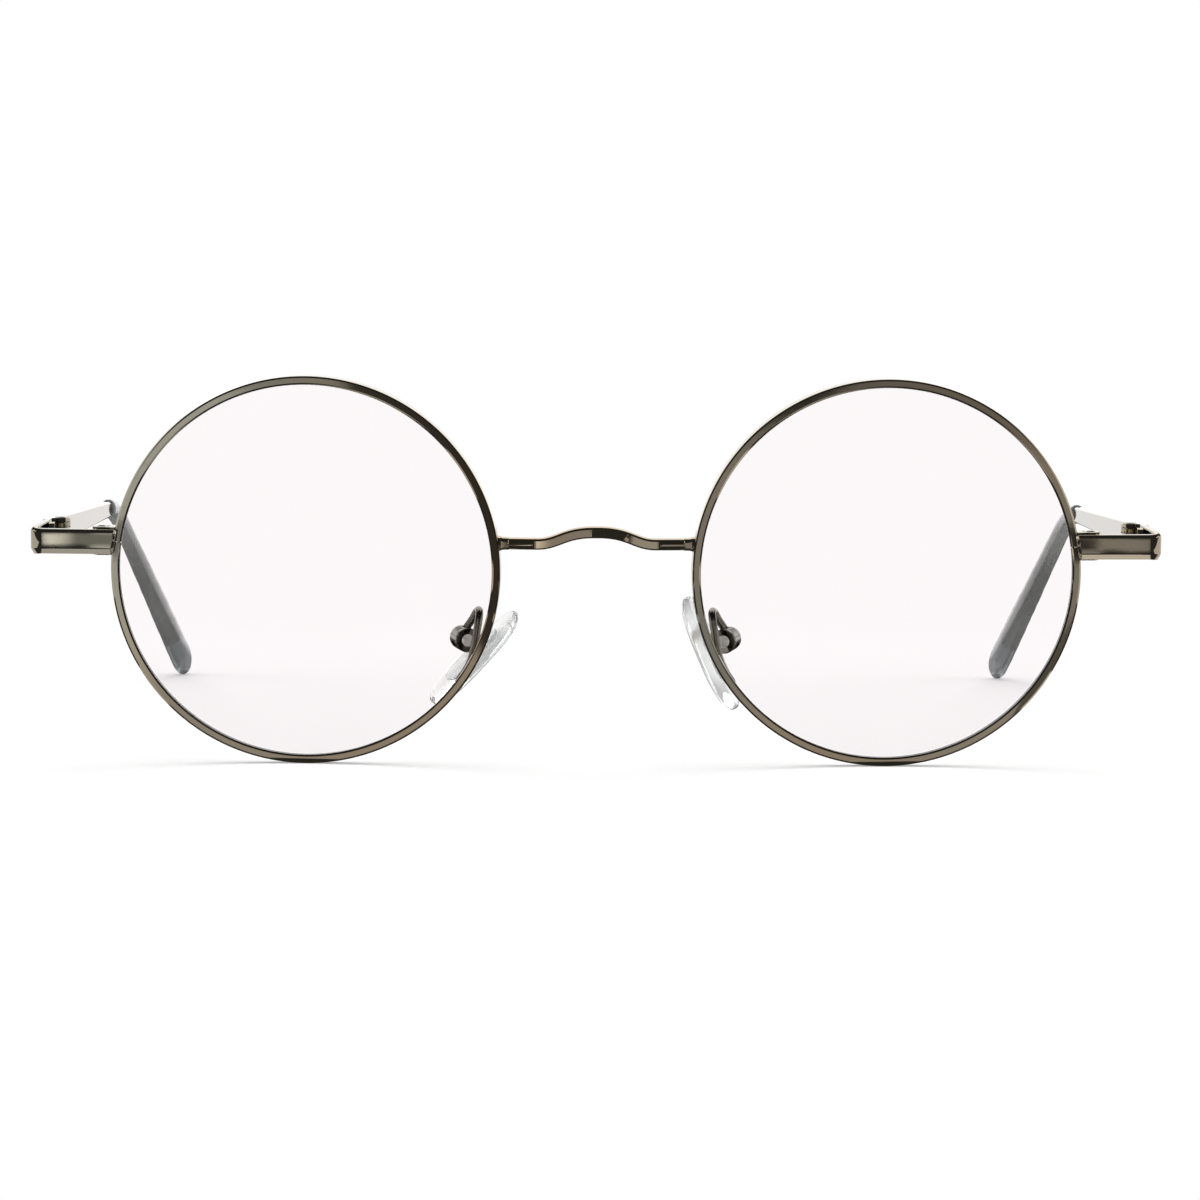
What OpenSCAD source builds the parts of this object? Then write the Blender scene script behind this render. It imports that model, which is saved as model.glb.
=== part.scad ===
// Round metal eyeglasses, open and resting on a table. Sizes are in millimetres.
// The front faces -Y, the temples run towards +Y and +X is the wearer's left.
// Every piece that comes in a pair is drawn for the wearer's left and mirrored.

/* [Rims and lenses] */
// Radius of a lens as seen inside its rim
lens_r = 22.5; // [20:0.25:26]
// Distance from the middle of the frame to a rim's centre
rim_x = 35; // [33:0.25:38]
// Width of a rim seen from the front
rim_w = 1.05; // [0.9:0.05:1.6]
// Depth of a rim from front to back
rim_d = 2.2; // [2:0.1:3]
// Width of the broken edges of a rim
rim_edge = 0.22; // [0.1:0.02:0.3]
// Lean of the lenses, tops forward
tilt = 4.5; // [0:0.5:8]
// Turn of each rim, outer side back
wrap = 3; // [0:0.5:5]
// Radius of a lens's front surface
lens_curve = 130; // [90:5:260]
// Thickness of a lens
lens_t = 1.8; // [1.2:0.1:2]

/* [Bridge] */
// Height of the bridge's ends above the rim centres
bridge_z = 3.5; // [1:0.25:6]
// Rise of the arch over those ends
bridge_rise = 1.45; // [0.5:0.1:4]
// Straight length next to each rim
bridge_foot = 4.6; // [2:0.2:6]
// Height of the bar
bridge_h = 1.45; // [1.1:0.05:2]
// Depth of the bar
bridge_d = 1.6; // [1.1:0.05:2]
// Bow of the middle towards the front
bridge_bow = 0.5; // [0:0.1:1]

/* [End pieces and hinges] */
// Height of an end piece above the rim centres
end_z = 3.3; // [2.5:0.1:4.5]
// Height of an end piece over the rim
end_h_rim = 3.0; // [2.6:0.1:3.4]
// Height of an end piece at the hinge
end_h_hinge = 3.4; // [3:0.1:4]
// Thickness of an end piece
end_t = 1.1; // [0.9:0.05:1.3]
// Radius of the corner where an end piece turns back
end_corner = 1; // [0.8:0.1:2.4]
// Inward lean of the leg that runs back to the hinge
end_lean = 7.5; // [0:0.5:12]
// Distance from the middle of the frame to a temple blade's centre
blade_x = 66.9; // [64.5:0.1:69]
// Depth of the hinge axis behind the rim centres
hinge_y = 7.4; // [6:0.1:9]
// Distance from a blade's centre plane in to the hinge axis
hinge_inset = 1.75; // [1.7:0.05:2.2]
// Radius of a hinge knuckle
knuckle_r = 1.1; // [0.95:0.05:1.1]
// Height of the three knuckles together
knuckle_h = 3.8; // [3.4:0.1:4.2]

/* [Temples] */
// Length of a temple from the hinge axis to its end
temple_len = 139; // [130:1:150]
// Length from the hinge axis to the ear bend
temple_to_bend = 93.5; // [85:0.5:100]
// Angle of the ear bend
temple_drop = 32.6; // [25:0.2:45]
// Radius of the ear bend
temple_bend_r = 20; // [12:1:30]
// How far the end of a temple turns in
temple_inward = 7.4; // [0:0.2:12]
// Height of a blade at the hinge
blade_h = 3.4; // [3:0.1:4]
// Height of a blade where the tip starts
blade_h_end = 2.15; // [1.9:0.05:2.6]
// Thickness of a blade
blade_t = 1.2; // [1:0.05:1.3]
// Where the plastic tip starts, from the hinge axis
tip_start = 85.5; // [75:0.5:86]
// Thickness of the tip near its end
tip_t = 3; // [2.4:0.1:3.6]
// Height of the tip near its end
tip_h = 5.2; // [3.6:0.1:6]

/* [Nose pads] */
// Distance from the middle of the frame to a pad screw
pad_x = 16; // [15:0.25:18]
// Depth of the pad screws behind the rim centres
pad_y = 5.4; // [5:0.1:7]
// Height of the pad screws, below the rim centres
pad_z = -9; // [-12:0.25:-7]
// Opening of the pads towards the back
pad_splay = 16; // [8:1:24]
// Lean of a pad's long axis halfway through its rocking
pad_lean = 35; // [25:1:40]
// How far each pad is rocked from there as it rests
pad_rock = 10; // [0:1:12]
// Length of a pad
pad_len = 15; // [12:0.5:17]
// Width of a pad
pad_w = 7.4; // [6.5:0.1:8.5]
// Thickness of a pad
pad_t = 2.6; // [2.4:0.1:3.2]
// Radius of a pad arm's wire
arm_r = 0.48; // [0.4:0.02:0.6]

/* [Hidden] */

$fn = 96;
RIGHT = -1;
LEFT = 1;
GUNMETAL = [0.3, 0.27, 0.22];
CLEAR_LENS = [0.95, 0.93, 0.94, 0.25];
CLEAR_PAD = [0.90, 0.93, 0.92, 0.5];
TIP_GREY = [0.55, 0.58, 0.58];
STEEL = [0.62, 0.61, 0.58];

// Gap between pieces that are only laid together
seat = 0.01;
// Gap between pieces that slide on each other
slide = 0.05;
// How far a cutting shape reaches past the piece it cuts
past = 1;

rim_r = lens_r + rim_w;
groove_d = 0.55;
groove_half = 0.6;
split_gap = 0.12;
lens_edge_gap = 0.03;
lens_back_curve = lens_curve - lens_t;
lens_middle_curve = lens_curve - lens_t / 2;
lens_centre_y = sqrt(pow(lens_middle_curve, 2) - pow(lens_r + groove_d, 2));

// Height of the rim centres when both rims stand on the table
function rim_reach_down(r, half) =
    r * norm([cos(tilt), sin(tilt) * sin(wrap)]) + half * cos(wrap) * sin(tilt);
rim_z = max(rim_reach_down(rim_r - rim_edge, rim_d / 2), rim_reach_down(rim_r, rim_d / 2 - rim_edge));

function unit(v) = v / norm(v);
function mix(a, b, t) = a + (b - a) * t;

// A point given in the frame of the wearer's left rim, moved to the frame of the front
function rim_to_front(p) = [
    rim_x + p.x * cos(wrap) - p.y * sin(wrap),
    p.x * sin(wrap) + p.y * cos(wrap),
    p.z
];

// The temple's centre line in the frame of its hinge, by distance along it
bend_tangent = temple_bend_r * tan(temple_drop / 2);
bend_start = temple_to_bend - bend_tangent;
bend_end = bend_start + temple_bend_r * temple_drop * PI / 180;
inset_ramp = 8;
function temple_angle(s) = max(0, min(temple_drop, (s - bend_start) / temple_bend_r * 180 / PI));
function inset_raw(d) = d <= 0 ? 0 : d < inset_ramp ? d * d / (2 * inset_ramp) : d - inset_ramp / 2;
function temple_inset(s) = temple_inward * inset_raw(s - bend_start) / inset_raw(temple_len - bend_start);
function temple_point(s) =
    let (a = temple_angle(s),
         along_straight = min(s, bend_start),
         past_bend = max(0, s - bend_end))
    [hinge_inset - temple_inset(s),
     along_straight + temple_bend_r * sin(a) + past_bend * cos(a),
     -temple_bend_r * (1 - cos(a)) - past_bend * sin(a)];
function temple_ring(s, outline) =
    let (a = temple_angle(s), centre = temple_point(s))
    [for (p = outline) centre + [p.x, p.y * sin(a), p.y * cos(a)]];

// Outlines across a bar, as points round it
function rounded_box(w, h, r) = [
    for (corner = [0:3], step = [0:2])
        let (a = corner * 90 + step * 45,
             sx = corner == 0 || corner == 3 ? 1 : -1,
             sz = corner < 2 ? 1 : -1)
        [sx * (w / 2 - r) + r * cos(a), sz * (h / 2 - r) + r * sin(a)]
];
function oval(w, h, n) = [for (i = [0:n - 1]) [w / 2 * cos(i * 360 / n), h / 2 * sin(i * 360 / n)]];

// Solid between a first and a last ring, through all the rings between them
module skin(rings) {
    n = len(rings[0]);
    last = len(rings) - 1;
    sides = [
        for (i = [0:last - 1], j = [0:n - 1])
            let (a = i * n + j, b = i * n + (j + 1) % n)
            each [[a, b, b + n], [a, b + n, a + n]]
    ];
    first_cap = [for (j = [n - 1:-1:0]) j];
    last_cap = [for (j = [0:n - 1]) last * n + j];
    polyhedron([for (ring = rings) each ring], concat(sides, [first_cap, last_cap]), convexity = 8);
}

// Plastic sleeve: closed at the far end, with a blind bore from the near end
module blind_sleeve(outer, inner) {
    n = len(outer[0]);
    m = len(outer);
    k = len(inner);
    outer_sides = [
        for (i = [0:m - 2], j = [0:n - 1])
            let (a = i * n + j, b = i * n + (j + 1) % n)
            each [[a, b, b + n], [a, b + n, a + n]]
    ];
    inner_sides = [
        for (i = [0:k - 2], j = [0:n - 1])
            let (a = (m + i) * n + j, b = (m + i) * n + (j + 1) % n)
            each [[a, b + n, b], [a, a + n, b + n]]
    ];
    mouth = [
        for (j = [0:n - 1])
            let (a = j, b = (j + 1) % n)
            each [[a, m * n + b, b], [a, m * n + a, m * n + b]]
    ];
    far_cap = [for (j = [0:n - 1]) (m - 1) * n + j];
    bore_end = [for (j = [n - 1:-1:0]) (m + k - 1) * n + j];
    points = concat([for (ring = outer) each ring], [for (ring = inner) each ring]);
    polyhedron(points, concat(outer_sides, inner_sides, mouth, [far_cap, bore_end]), convexity = 8);
}

// Rings of the temple tip, thicker towards its rounded end
tip_sides = 14;
tip_round = 3;
tip_t_start = 2.2;
tip_h_start = 2.6;
function tip_swell(s) = let (t = (s - tip_start) / (temple_len - tip_start)) t * t * (3 - 2 * t);
function tip_outline(s) =
    let (q = max(0, (s - (temple_len - tip_round)) / tip_round),
         close = sqrt(max(0, 1 - q * q)),
         t = close * mix(tip_t_start, tip_t, tip_swell(s)),
         h = close * mix(tip_h_start, tip_h, tip_swell(s)))
    oval(t, h, tip_sides);
tip_stations = concat(
    [tip_start, tip_start + 1],
    [for (i = [0:8]) mix(bend_start, bend_end, i / 8)],
    [for (i = [1:7]) mix(bend_end, temple_len - tip_round, i / 7)],
    [for (i = [1:5]) temple_len - tip_round + tip_round * sin(i * 90 / 5.5)]
);
tip_rings = [for (s = tip_stations) temple_ring(s, tip_outline(s))];

// Where the hinge lies behind the front, and the slope at which the tips meet the table
hinge_in_front = [blade_x - hinge_inset, hinge_y, end_z];
hinge_z = rim_z + hinge_in_front.y * sin(tilt) + hinge_in_front.z * cos(tilt);
tip_points = [for (ring = tip_rings) each ring];
slope = min([for (p = tip_points) asin(hinge_z / norm([p.y, p.z])) - atan2(-p.z, p.y)]);
kink = tilt + slope;

// The whole part is centred on the table from front to back
front_reach = lens_curve - lens_centre_y * cos(wrap) * cos(tilt);
hinge_back = hinge_in_front.y * cos(tilt) - hinge_in_front.z * sin(tilt);
back_reach = hinge_back + max([for (p = tip_points) p.y * cos(slope) + p.z * sin(slope)]);
front_y = (front_reach - back_reach) / 2;

function front_to_world(p) = [
    p.x,
    front_y + p.y * cos(tilt) - p.z * sin(tilt),
    rim_z + p.y * sin(tilt) + p.z * cos(tilt)
];
function hinge_to_front(p) = hinge_in_front + [
    p.x,
    p.y * cos(kink) + p.z * sin(kink),
    p.z * cos(kink) - p.y * sin(kink)
];

module on_side(side) {
    if (side == LEFT) children();
    else mirror([1, 0, 0]) children();
}
module front_frame() {
    translate([0, front_y, rim_z]) rotate([tilt, 0, 0]) children();
}
module rim_frame(side) {
    on_side(side) front_frame() translate([rim_x, 0, 0]) rotate([0, 0, wrap]) children();
}
module hinge_frame(side) {
    on_side(side) translate(front_to_world(hinge_in_front)) rotate([-slope, 0, 0]) children();
}

// Rim: a grooved ring, split on its outer side where the closing barrels meet
split_angle = asin(end_z / rim_r);
split_sweep = split_gap / rim_r * 180 / PI;
rim_outline = [
    [lens_r, -rim_d / 2 + rim_edge], [lens_r + rim_edge, -rim_d / 2],
    [rim_r - rim_edge, -rim_d / 2], [rim_r, -rim_d / 2 + rim_edge],
    [rim_r, rim_d / 2 - rim_edge], [rim_r - rim_edge, rim_d / 2],
    [lens_r + rim_edge, rim_d / 2], [lens_r, rim_d / 2 - rim_edge],
    [lens_r, groove_half], [lens_r + groove_d, 0], [lens_r, -groove_half]
];
module rim(side) {
    color(GUNMETAL) rim_frame(side) rotate([90, 0, 0])
        rotate_extrude(angle = 360 - split_sweep, start = split_angle + split_sweep / 2, $fn = 180)
            polygon(rim_outline);
}

// Lens: a curved shell of even thickness with a bevel that sits in the rim's groove
lens_arc_steps = 9;
lens_edge_r = lens_r - lens_edge_gap;
function lens_front(r) = sqrt(pow(lens_curve, 2) - r * r) - lens_centre_y;
function lens_back(r) = sqrt(pow(lens_back_curve, 2) - r * r) - lens_centre_y;
module lens(side) {
    outline = concat(
        [for (i = [0:lens_arc_steps]) let (r = lens_edge_r * i / lens_arc_steps) [r, lens_front(r)]],
        [[lens_edge_r, groove_half - lens_edge_gap], [lens_edge_r + groove_d, 0]],
        [[lens_edge_r, lens_edge_gap - groove_half]],
        [for (i = [lens_arc_steps:-1:0]) let (r = lens_edge_r * i / lens_arc_steps) [r, lens_back(r)]]
    );
    color(CLEAR_LENS) rim_frame(side) rotate([90, 0, 0]) rotate_extrude($fn = 180) polygon(outline);
}

// Bridge: a bar that leaves each rim level and rises to a low arch, flat in front
bridge_end = rim_to_front([-sqrt(pow(rim_r, 2) - pow(bridge_z, 2)), 0, bridge_z]);
arch_flat = 0.3;
arch_run = bridge_end.x - bridge_foot - arch_flat;
flank_low = 0.36;
flank_high = 0.46;
fillet_len = 0.7;
fillet_grow = 0.5;
fillet_corner = 0.8;
round_corner = 0.62;
flat_corner = 0.3;
function flank(t) = [
    3 * pow(1 - t, 2) * t * flank_low + 3 * (1 - t) * t * t * flank_high + pow(t, 3),
    3 * (1 - t) * t * t + pow(t, 3)
];
bridge_half = concat(
    [[bridge_end.x - fillet_len, 0], [bridge_end.x - bridge_foot * 0.6, 0]],
    [for (i = [0:7])
        let (f = flank(i / 8))
        [bridge_end.x - bridge_foot - arch_run * f.x, bridge_rise * f.y]],
    [[arch_flat, bridge_rise]]
);
bridge_path = concat(
    bridge_half,
    [for (i = [len(bridge_half) - 1:-1:0]) [-bridge_half[i].x, bridge_half[i].y]]
);
function bridge_y(x) = bridge_end.y - bridge_bow * (1 - pow(x / bridge_end.x, 2));
// The bar is round at its ends and has a flat front along the arch
function bar_corner(x) = abs(x) > bridge_end.x - bridge_foot ? round_corner : flat_corner;
function rim_skin_x(z) = rim_x - sqrt(pow(rim_r + seat, 2) - z * z) * cos(wrap);
module bridge() {
    last = len(bridge_path) - 1;
    body_rings = [
        for (i = [0:last])
            let (p = bridge_path[i],
                 t = unit(bridge_path[min(last, i + 1)] - bridge_path[max(0, i - 1)]),
                 centre = [p.x, bridge_y(p.x), bridge_z + p.y])
            [for (q = rounded_box(bridge_d, bridge_h, bar_corner(p.x)))
                centre + [q.y * t.y, q.x, -q.y * t.x]]
    ];
    joint = rounded_box(bridge_d + fillet_grow, bridge_h + fillet_grow, fillet_corner);
    function joint_ring(side) = [
        for (q = joint)
            [side * (rim_skin_x(bridge_z + q.y) - q.x * tan(wrap)), bridge_end.y + q.x, bridge_z + q.y]
    ];
    color(GUNMETAL) front_frame() skin(concat([joint_ring(1)], body_rings, [joint_ring(-1)]));
}

// End piece: a faceted plate across the rim that turns the corner and runs back to the hinge
plate_lap = 0.6;
plate_nose = 0.35;
nose_edge_h = 0.2;
nose_edge_t = 0.3;
end_start = rim_to_front([rim_r - plate_lap, -rim_d / 2 - end_t / 2 - seat, end_z]);
end_stop = hinge_to_front([hinge_inset, -slide, 0]);
plate_dir = [cos(wrap), sin(wrap)];
leg_dir = [-sin(end_lean), cos(end_lean)];
// Plan of the two straights, their meeting point and the arc between them
plan_start = [end_start.x, end_start.y];
plan_stop = [end_stop.x, end_stop.y];
meet_along = ((plan_stop - plan_start) * [leg_dir.y, -leg_dir.x]) / (plate_dir * [leg_dir.y, -leg_dir.x]);
plan_meet = plan_start + plate_dir * meet_along;
corner_turn = 90 + end_lean - wrap;
corner_tangent = end_corner * tan(corner_turn / 2);
corner_centre = plan_meet - plate_dir * corner_tangent + end_corner * [-plate_dir.y, plate_dir.x];
plan_path = concat(
    [plan_start, plan_start + plate_dir * plate_nose],
    [for (i = [0:6])
        let (a = wrap - 90 + corner_turn * i / 6)
        corner_centre + end_corner * [cos(a), sin(a)]],
    [plan_stop]
);
plan_heading = concat([wrap, wrap], [for (i = [0:6]) wrap + corner_turn * i / 6], [wrap + corner_turn]);
// Its front is flat between a narrow facet above and a broad one below
top_facet_h = 0.35;
top_facet_t = 0.3;
low_facet_h = 0.7;
low_facet_t = 0.45;
inner_edge = 0.15;
function plate_outline(t, h) = [
    [t / 2, h / 2 - top_facet_h], [t / 2 - top_facet_t, h / 2],
    [inner_edge - t / 2, h / 2], [-t / 2, h / 2 - inner_edge],
    [-t / 2, inner_edge - h / 2], [inner_edge - t / 2, -h / 2],
    [t / 2 - low_facet_t, -h / 2], [t / 2, low_facet_h - h / 2]
];
module end_piece(side) {
    last = len(plan_path) - 1;
    rings = [
        for (i = [0:last])
            let (heading = plan_heading[i],
                 outward = [sin(heading), -cos(heading), 0],
                 up = i < last ? [0, 0, 1] : [0, sin(kink), cos(kink)],
                 middle = i < last ? end_z : end_stop.z,
                 grow = min(1, (i + 1) / 8),
                 h = (i == 0 ? -2 * nose_edge_h : 0) + mix(end_h_rim, end_h_hinge, grow),
                 t = i == 0 ? end_t - nose_edge_t : end_t,
                 shift = i == 0 ? -nose_edge_t / 2 : 0)
            [for (q = plate_outline(t, h))
                [plan_path[i].x, plan_path[i].y, middle] + (q.x + shift) * outward + q.y * up]
    ];
    color(GUNMETAL) on_side(side) front_frame() skin(rings);
}

// Closing barrels: the two halves that clamp the split rim round its lens
barrel_r = rim_d / 2;
barrel_h = 1.65;
barrel_x = rim_r + barrel_r + 0.1;
rim_screw_r = 0.55;
rim_screw_head_r = 0.85;
rim_screw_head_h = 0.45;
rim_screw_len = 2 * barrel_h - 0.6;
barrel_web = 2;
module closing_barrel(low, high, bore_r) {
    difference() {
        union() {
            translate([barrel_x, 0, low]) cylinder(r = barrel_r, h = high - low);
            translate([barrel_x - barrel_web, -rim_d / 2, low]) cube([barrel_web, rim_d, high - low]);
        }
        rotate([90, 0, 0]) cylinder(r = rim_r + seat, h = rim_d + 2 * past, center = true, $fn = 180);
        translate([barrel_x, 0, low - past]) cylinder(r = bore_r, h = high - low + 2 * past);
        if (low < end_z - split_gap)
            translate([barrel_x, 0, low - past])
                cylinder(r = rim_screw_head_r + seat, h = past + rim_screw_head_h);
    }
}
module upper_closing_barrel(side) {
    color(GUNMETAL) rim_frame(side)
        closing_barrel(end_z + split_gap / 2, end_z + split_gap / 2 + barrel_h, rim_screw_r + seat);
}
module lower_closing_barrel(side) {
    color(GUNMETAL) rim_frame(side)
        closing_barrel(end_z - split_gap / 2 - barrel_h, end_z - split_gap / 2, rim_screw_r + slide);
}
module slotted_screw(head_r, head_h, shank_r, shank_h) {
    difference() {
        union() {
            cylinder(r = head_r, h = head_h);
            translate([0, 0, head_h]) cylinder(r = shank_r, h = shank_h);
        }
        translate([-head_r - past, -head_r / 6, -past])
            cube([2 * (head_r + past), head_r / 3, past + head_h / 2]);
    }
}
module rim_screw(side) {
    foot = end_z - split_gap / 2 - barrel_h;
    color(STEEL) rim_frame(side) translate([barrel_x, 0, foot - seat])
        slotted_screw(rim_screw_head_r, rim_screw_head_h, rim_screw_r, rim_screw_len);
}

// Hinge: two outer knuckles on the end piece, one on the temple, on a screw from above
leaf_t = 0.7;
leaf_len = 4.6;
leaf_h = 3;
leaf_face = hinge_inset - blade_t / 2;
leaf_clear = knuckle_r + 0.1;
middle_h = 1.3;
hinge_screw_r = 0.6;
hinge_head_r = 0.85;
hinge_head_h = 0.5;
head_proud = 0.15;
knuckle_lap = 0.2;
leaf_end_r = 2;
module leaf_plate(dir) {
    intersection() {
        translate([leaf_face - leaf_t, dir > 0 ? leaf_clear : -leaf_len, -leaf_h / 2])
            cube([leaf_t, leaf_len - leaf_clear, leaf_h]);
        translate([0, dir * (leaf_len - leaf_end_r), 0]) rotate([0, 90, 0])
            cylinder(r = leaf_end_r, h = 2 * leaf_end_r);
    }
}
module knuckle(dir, low, high) {
    translate([0, 0, low]) cylinder(r = knuckle_r, h = high - low);
    translate([0, dir > 0 ? 0 : -leaf_clear - knuckle_lap, low])
        cube([leaf_face - slide, leaf_clear + knuckle_lap, high - low]);
}
module front_hinge_leaf(side) {
    color(GUNMETAL) hinge_frame(side) difference() {
        union() {
            leaf_plate(-1);
            knuckle(-1, middle_h / 2 + slide, knuckle_h / 2);
            knuckle(-1, -knuckle_h / 2, -middle_h / 2 - slide);
        }
        cylinder(r = hinge_screw_r + seat, h = knuckle_h + 2 * past, center = true);
        translate([0, 0, knuckle_h / 2 + head_proud - hinge_head_h])
            cylinder(r = hinge_head_r + seat, h = 2 * past);
    }
}
module hinge_screw(side) {
    color(STEEL) hinge_frame(side) translate([0, 0, knuckle_h / 2 + head_proud + seat]) mirror([0, 0, 1])
        slotted_screw(hinge_head_r, hinge_head_h, hinge_screw_r, knuckle_h - hinge_head_h);
}
module temple_hinge_leaf(side) {
    color(GUNMETAL) hinge_frame(side) difference() {
        union() {
            leaf_plate(1);
            knuckle(1, -middle_h / 2, middle_h / 2);
        }
        cylinder(r = hinge_screw_r + slide, h = knuckle_h + 2 * past, center = true);
    }
}

// Temple: a tapered blade that ends in a core wire inside the plastic tip
core_r = 0.7;
core_sides = tip_sides;
core_end = temple_len - 9;
blade_corner = 0.3;
bore_gap = 0.04;
blade_full = 8;
function blade_outline(s) =
    let (t = max(0, (s - blade_full) / (tip_start - blade_full)))
    rounded_box(blade_t, mix(blade_h, blade_h_end, t), blade_corner);
function core_stations(from, to) = concat(
    [from],
    [for (i = [0:8]) mix(bend_start, bend_end, i / 8)],
    [for (i = [1:3]) mix(bend_end, to, i / 3)]
);
module temple(side) {
    color(GUNMETAL) hinge_frame(side) {
        skin([for (s = [slide, blade_full, mix(blade_full, tip_start, 0.5), tip_start - seat])
            temple_ring(s, blade_outline(s))]);
        skin([for (s = core_stations(tip_start - 1, core_end))
            temple_ring(s, oval(2 * core_r, 2 * core_r, core_sides))]);
    }
}
module temple_tip(side) {
    bore = 2 * (core_r + bore_gap);
    color(TIP_GREY) hinge_frame(side) blind_sleeve(
        tip_rings,
        [for (s = core_stations(tip_start, core_end + 0.1)) temple_ring(s, oval(bore, bore, core_sides))]
    );
}

// Nose pads: each rocks on a screw that runs from front to back through its box
box_r = 1.5;
box_depth = 3;
box_flat = 1.2;
box_wall = 0.45;
tongue_t = 1.1;
tongue_r = 0.95;
tongue_h = 1.5;
pad_screw_r = 0.5;
pad_head_r = 0.75;
pad_head_h = 0.4;
pad_face = 1.45;
pad_low = 0.8;
core_plate_t = 0.6;
core_plate_w = 3.6;
core_plate_len = 8.4;
core_depth = 0.75;
core_fit = 0.02;
module pad_frame(side, lean) {
    on_side(side) front_frame() translate([pad_x, pad_y, pad_z])
        rotate([0, 0, -pad_splay]) rotate([0, -lean, 0]) children();
}
module round_bar_y(r, h) {
    rotate([90, 0, 0]) cylinder(r = r, h = h, center = true);
}
module pad_box(side) {
    slot = tongue_t + 4 * slide;
    color(GUNMETAL) pad_frame(side, pad_lean) difference() {
        intersection() {
            round_bar_y(box_r, box_depth);
            translate([-box_flat, -box_depth, -box_r]) cube([2 * box_r, 2 * box_depth, 2 * box_r]);
        }
        translate([-box_r - past, -slot / 2, -box_r - past])
            cube([2 * box_r + past - box_wall, slot, 2 * (box_r + past)]);
        round_bar_y(pad_screw_r + seat, box_depth + 2 * past);
        translate([0, (pad_head_h - box_depth - past) / 2, 0]) round_bar_y(pad_head_r + seat, past);
    }
}
module pad_screw(side) {
    color(STEEL) pad_frame(side, pad_lean)
        translate([0, -box_depth / 2 - pad_head_h / 2, 0]) rotate([-90, 0, 0])
            slotted_screw(pad_head_r, pad_head_h - seat, pad_screw_r, box_depth);
}
module core_shape(gap) {
    half = core_plate_len / 2 - core_plate_w / 2;
    front = -pad_face - core_depth - core_plate_t;
    translate([front - gap, 0, -pad_low]) rotate([0, 90, 0]) linear_extrude(core_plate_t + 2 * gap) {
        for (end = [-1, 1]) translate([end * half, 0]) circle(r = core_plate_w / 2 + gap);
        square([2 * half, core_plate_w + 2 * gap], center = true);
    }
    translate([front + core_plate_t / 2, -tongue_t / 2 - gap, -tongue_h / 2 - gap])
        cube([-front - core_plate_t / 2 - tongue_r / 2, tongue_t + 2 * gap, tongue_h + 2 * gap]);
}
function pad_angle(side) = pad_lean + (side == RIGHT ? pad_rock : -pad_rock);
module pad_core(side) {
    color(CLEAR_PAD) pad_frame(side, pad_angle(side)) difference() {
        union() {
            core_shape(0);
            round_bar_y(tongue_r, tongue_t);
        }
        round_bar_y(pad_screw_r + slide, box_depth);
    }
}
pad_sides = 18;
pad_rings = 14;
pad_end = 0.985;
pad_taper = 0.12;
pad_nose_share = 0.42;
function pad_fullness(q, power) = pow(max(0, 1 - pow(abs(q), power)), 1 / 2.2);
function pad_ring(q) =
    let (w = pad_w * pad_fullness(q, 2.6) * (1 - pad_taper * q),
         t = pad_t * pad_fullness(q, 3.4))
    [for (i = [0:pad_sides - 1])
        let (a = i * 360 / pad_sides,
             bulge = sin(a) > 0 ? pad_nose_share : 1 - pad_nose_share)
        [t * bulge * sin(a) - pad_face - pad_t * pad_nose_share,
         w / 2 * cos(a),
         q * pad_len / 2 - pad_low]];
module nose_pad(side) {
    color(CLEAR_PAD) pad_frame(side, pad_angle(side)) difference() {
        skin([for (i = [0:pad_rings]) pad_ring(pad_end * sin(-90 + 180 * i / pad_rings))]);
        core_shape(core_fit);
    }
}

// Pad arm: a wire from the back of the rim, up, over a loop and down into the pad box
arm_foot_angle = 216.8;
arm_foot_r = lens_r + 0.25;
arm_lift = 0.06;
function rim_back_point(angle, r) =
    rim_to_front([r * cos(angle), rim_d / 2 + arm_r + arm_lift, r * sin(angle)]);
pad_centre = [pad_x, pad_y, pad_z];
arm_points = [
    rim_back_point(arm_foot_angle, arm_foot_r),
    rim_back_point(arm_foot_angle - 8, arm_foot_r - 0.15),
    pad_centre + [-1.6, -3.0, 1.8],
    pad_centre + [-1.8, -1.3, 3.45],
    pad_centre + [-1.5, 0, 3.4],
    pad_centre + [-0.95, 0.15, 2.4],
    pad_centre + [-0.2, 0.1, 1.3]
];
function spline(p, i, t) =
    let (a = p[max(0, i - 1)], b = p[i], c = p[i + 1], d = p[min(len(p) - 1, i + 2)])
    0.5 * (2 * b + (c - a) * t + (2 * a - 5 * b + 4 * c - d) * t * t + (3 * b - a - 3 * c + d) * t * t * t);
arm_steps = 4;
arm_path = concat(
    [for (i = [0:len(arm_points) - 2], k = [0:arm_steps - 1]) spline(arm_points, i, k / arm_steps)],
    [arm_points[len(arm_points) - 1]]
);
function wire_ring(path, i, r, sides) =
    let (last = len(path) - 1,
         along = unit(path[min(last, i + 1)] - path[max(0, i - 1)]),
         across = unit(cross(along, [1, 0, 0])),
         over = cross(along, across))
    [for (j = [0:sides - 1]) let (a = j * 360 / sides) path[i] + r * (cos(a) * over + sin(a) * across)];
module pad_arm(side) {
    color(GUNMETAL) on_side(side) front_frame()
        skin([for (i = [0:len(arm_path) - 1]) wire_ring(arm_path, i, arm_r, 10)]);
}

echo(rim_z = rim_z, front_y = front_y, slope = slope);
echo(left_hinge = front_to_world(hinge_in_front), hinge_axis = [0, sin(slope), cos(slope)]);
echo(left_pad_screw = front_to_world(pad_centre),
     pad_axis = [sin(pad_splay), cos(pad_splay) * cos(tilt), cos(pad_splay) * sin(tilt)]);

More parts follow.
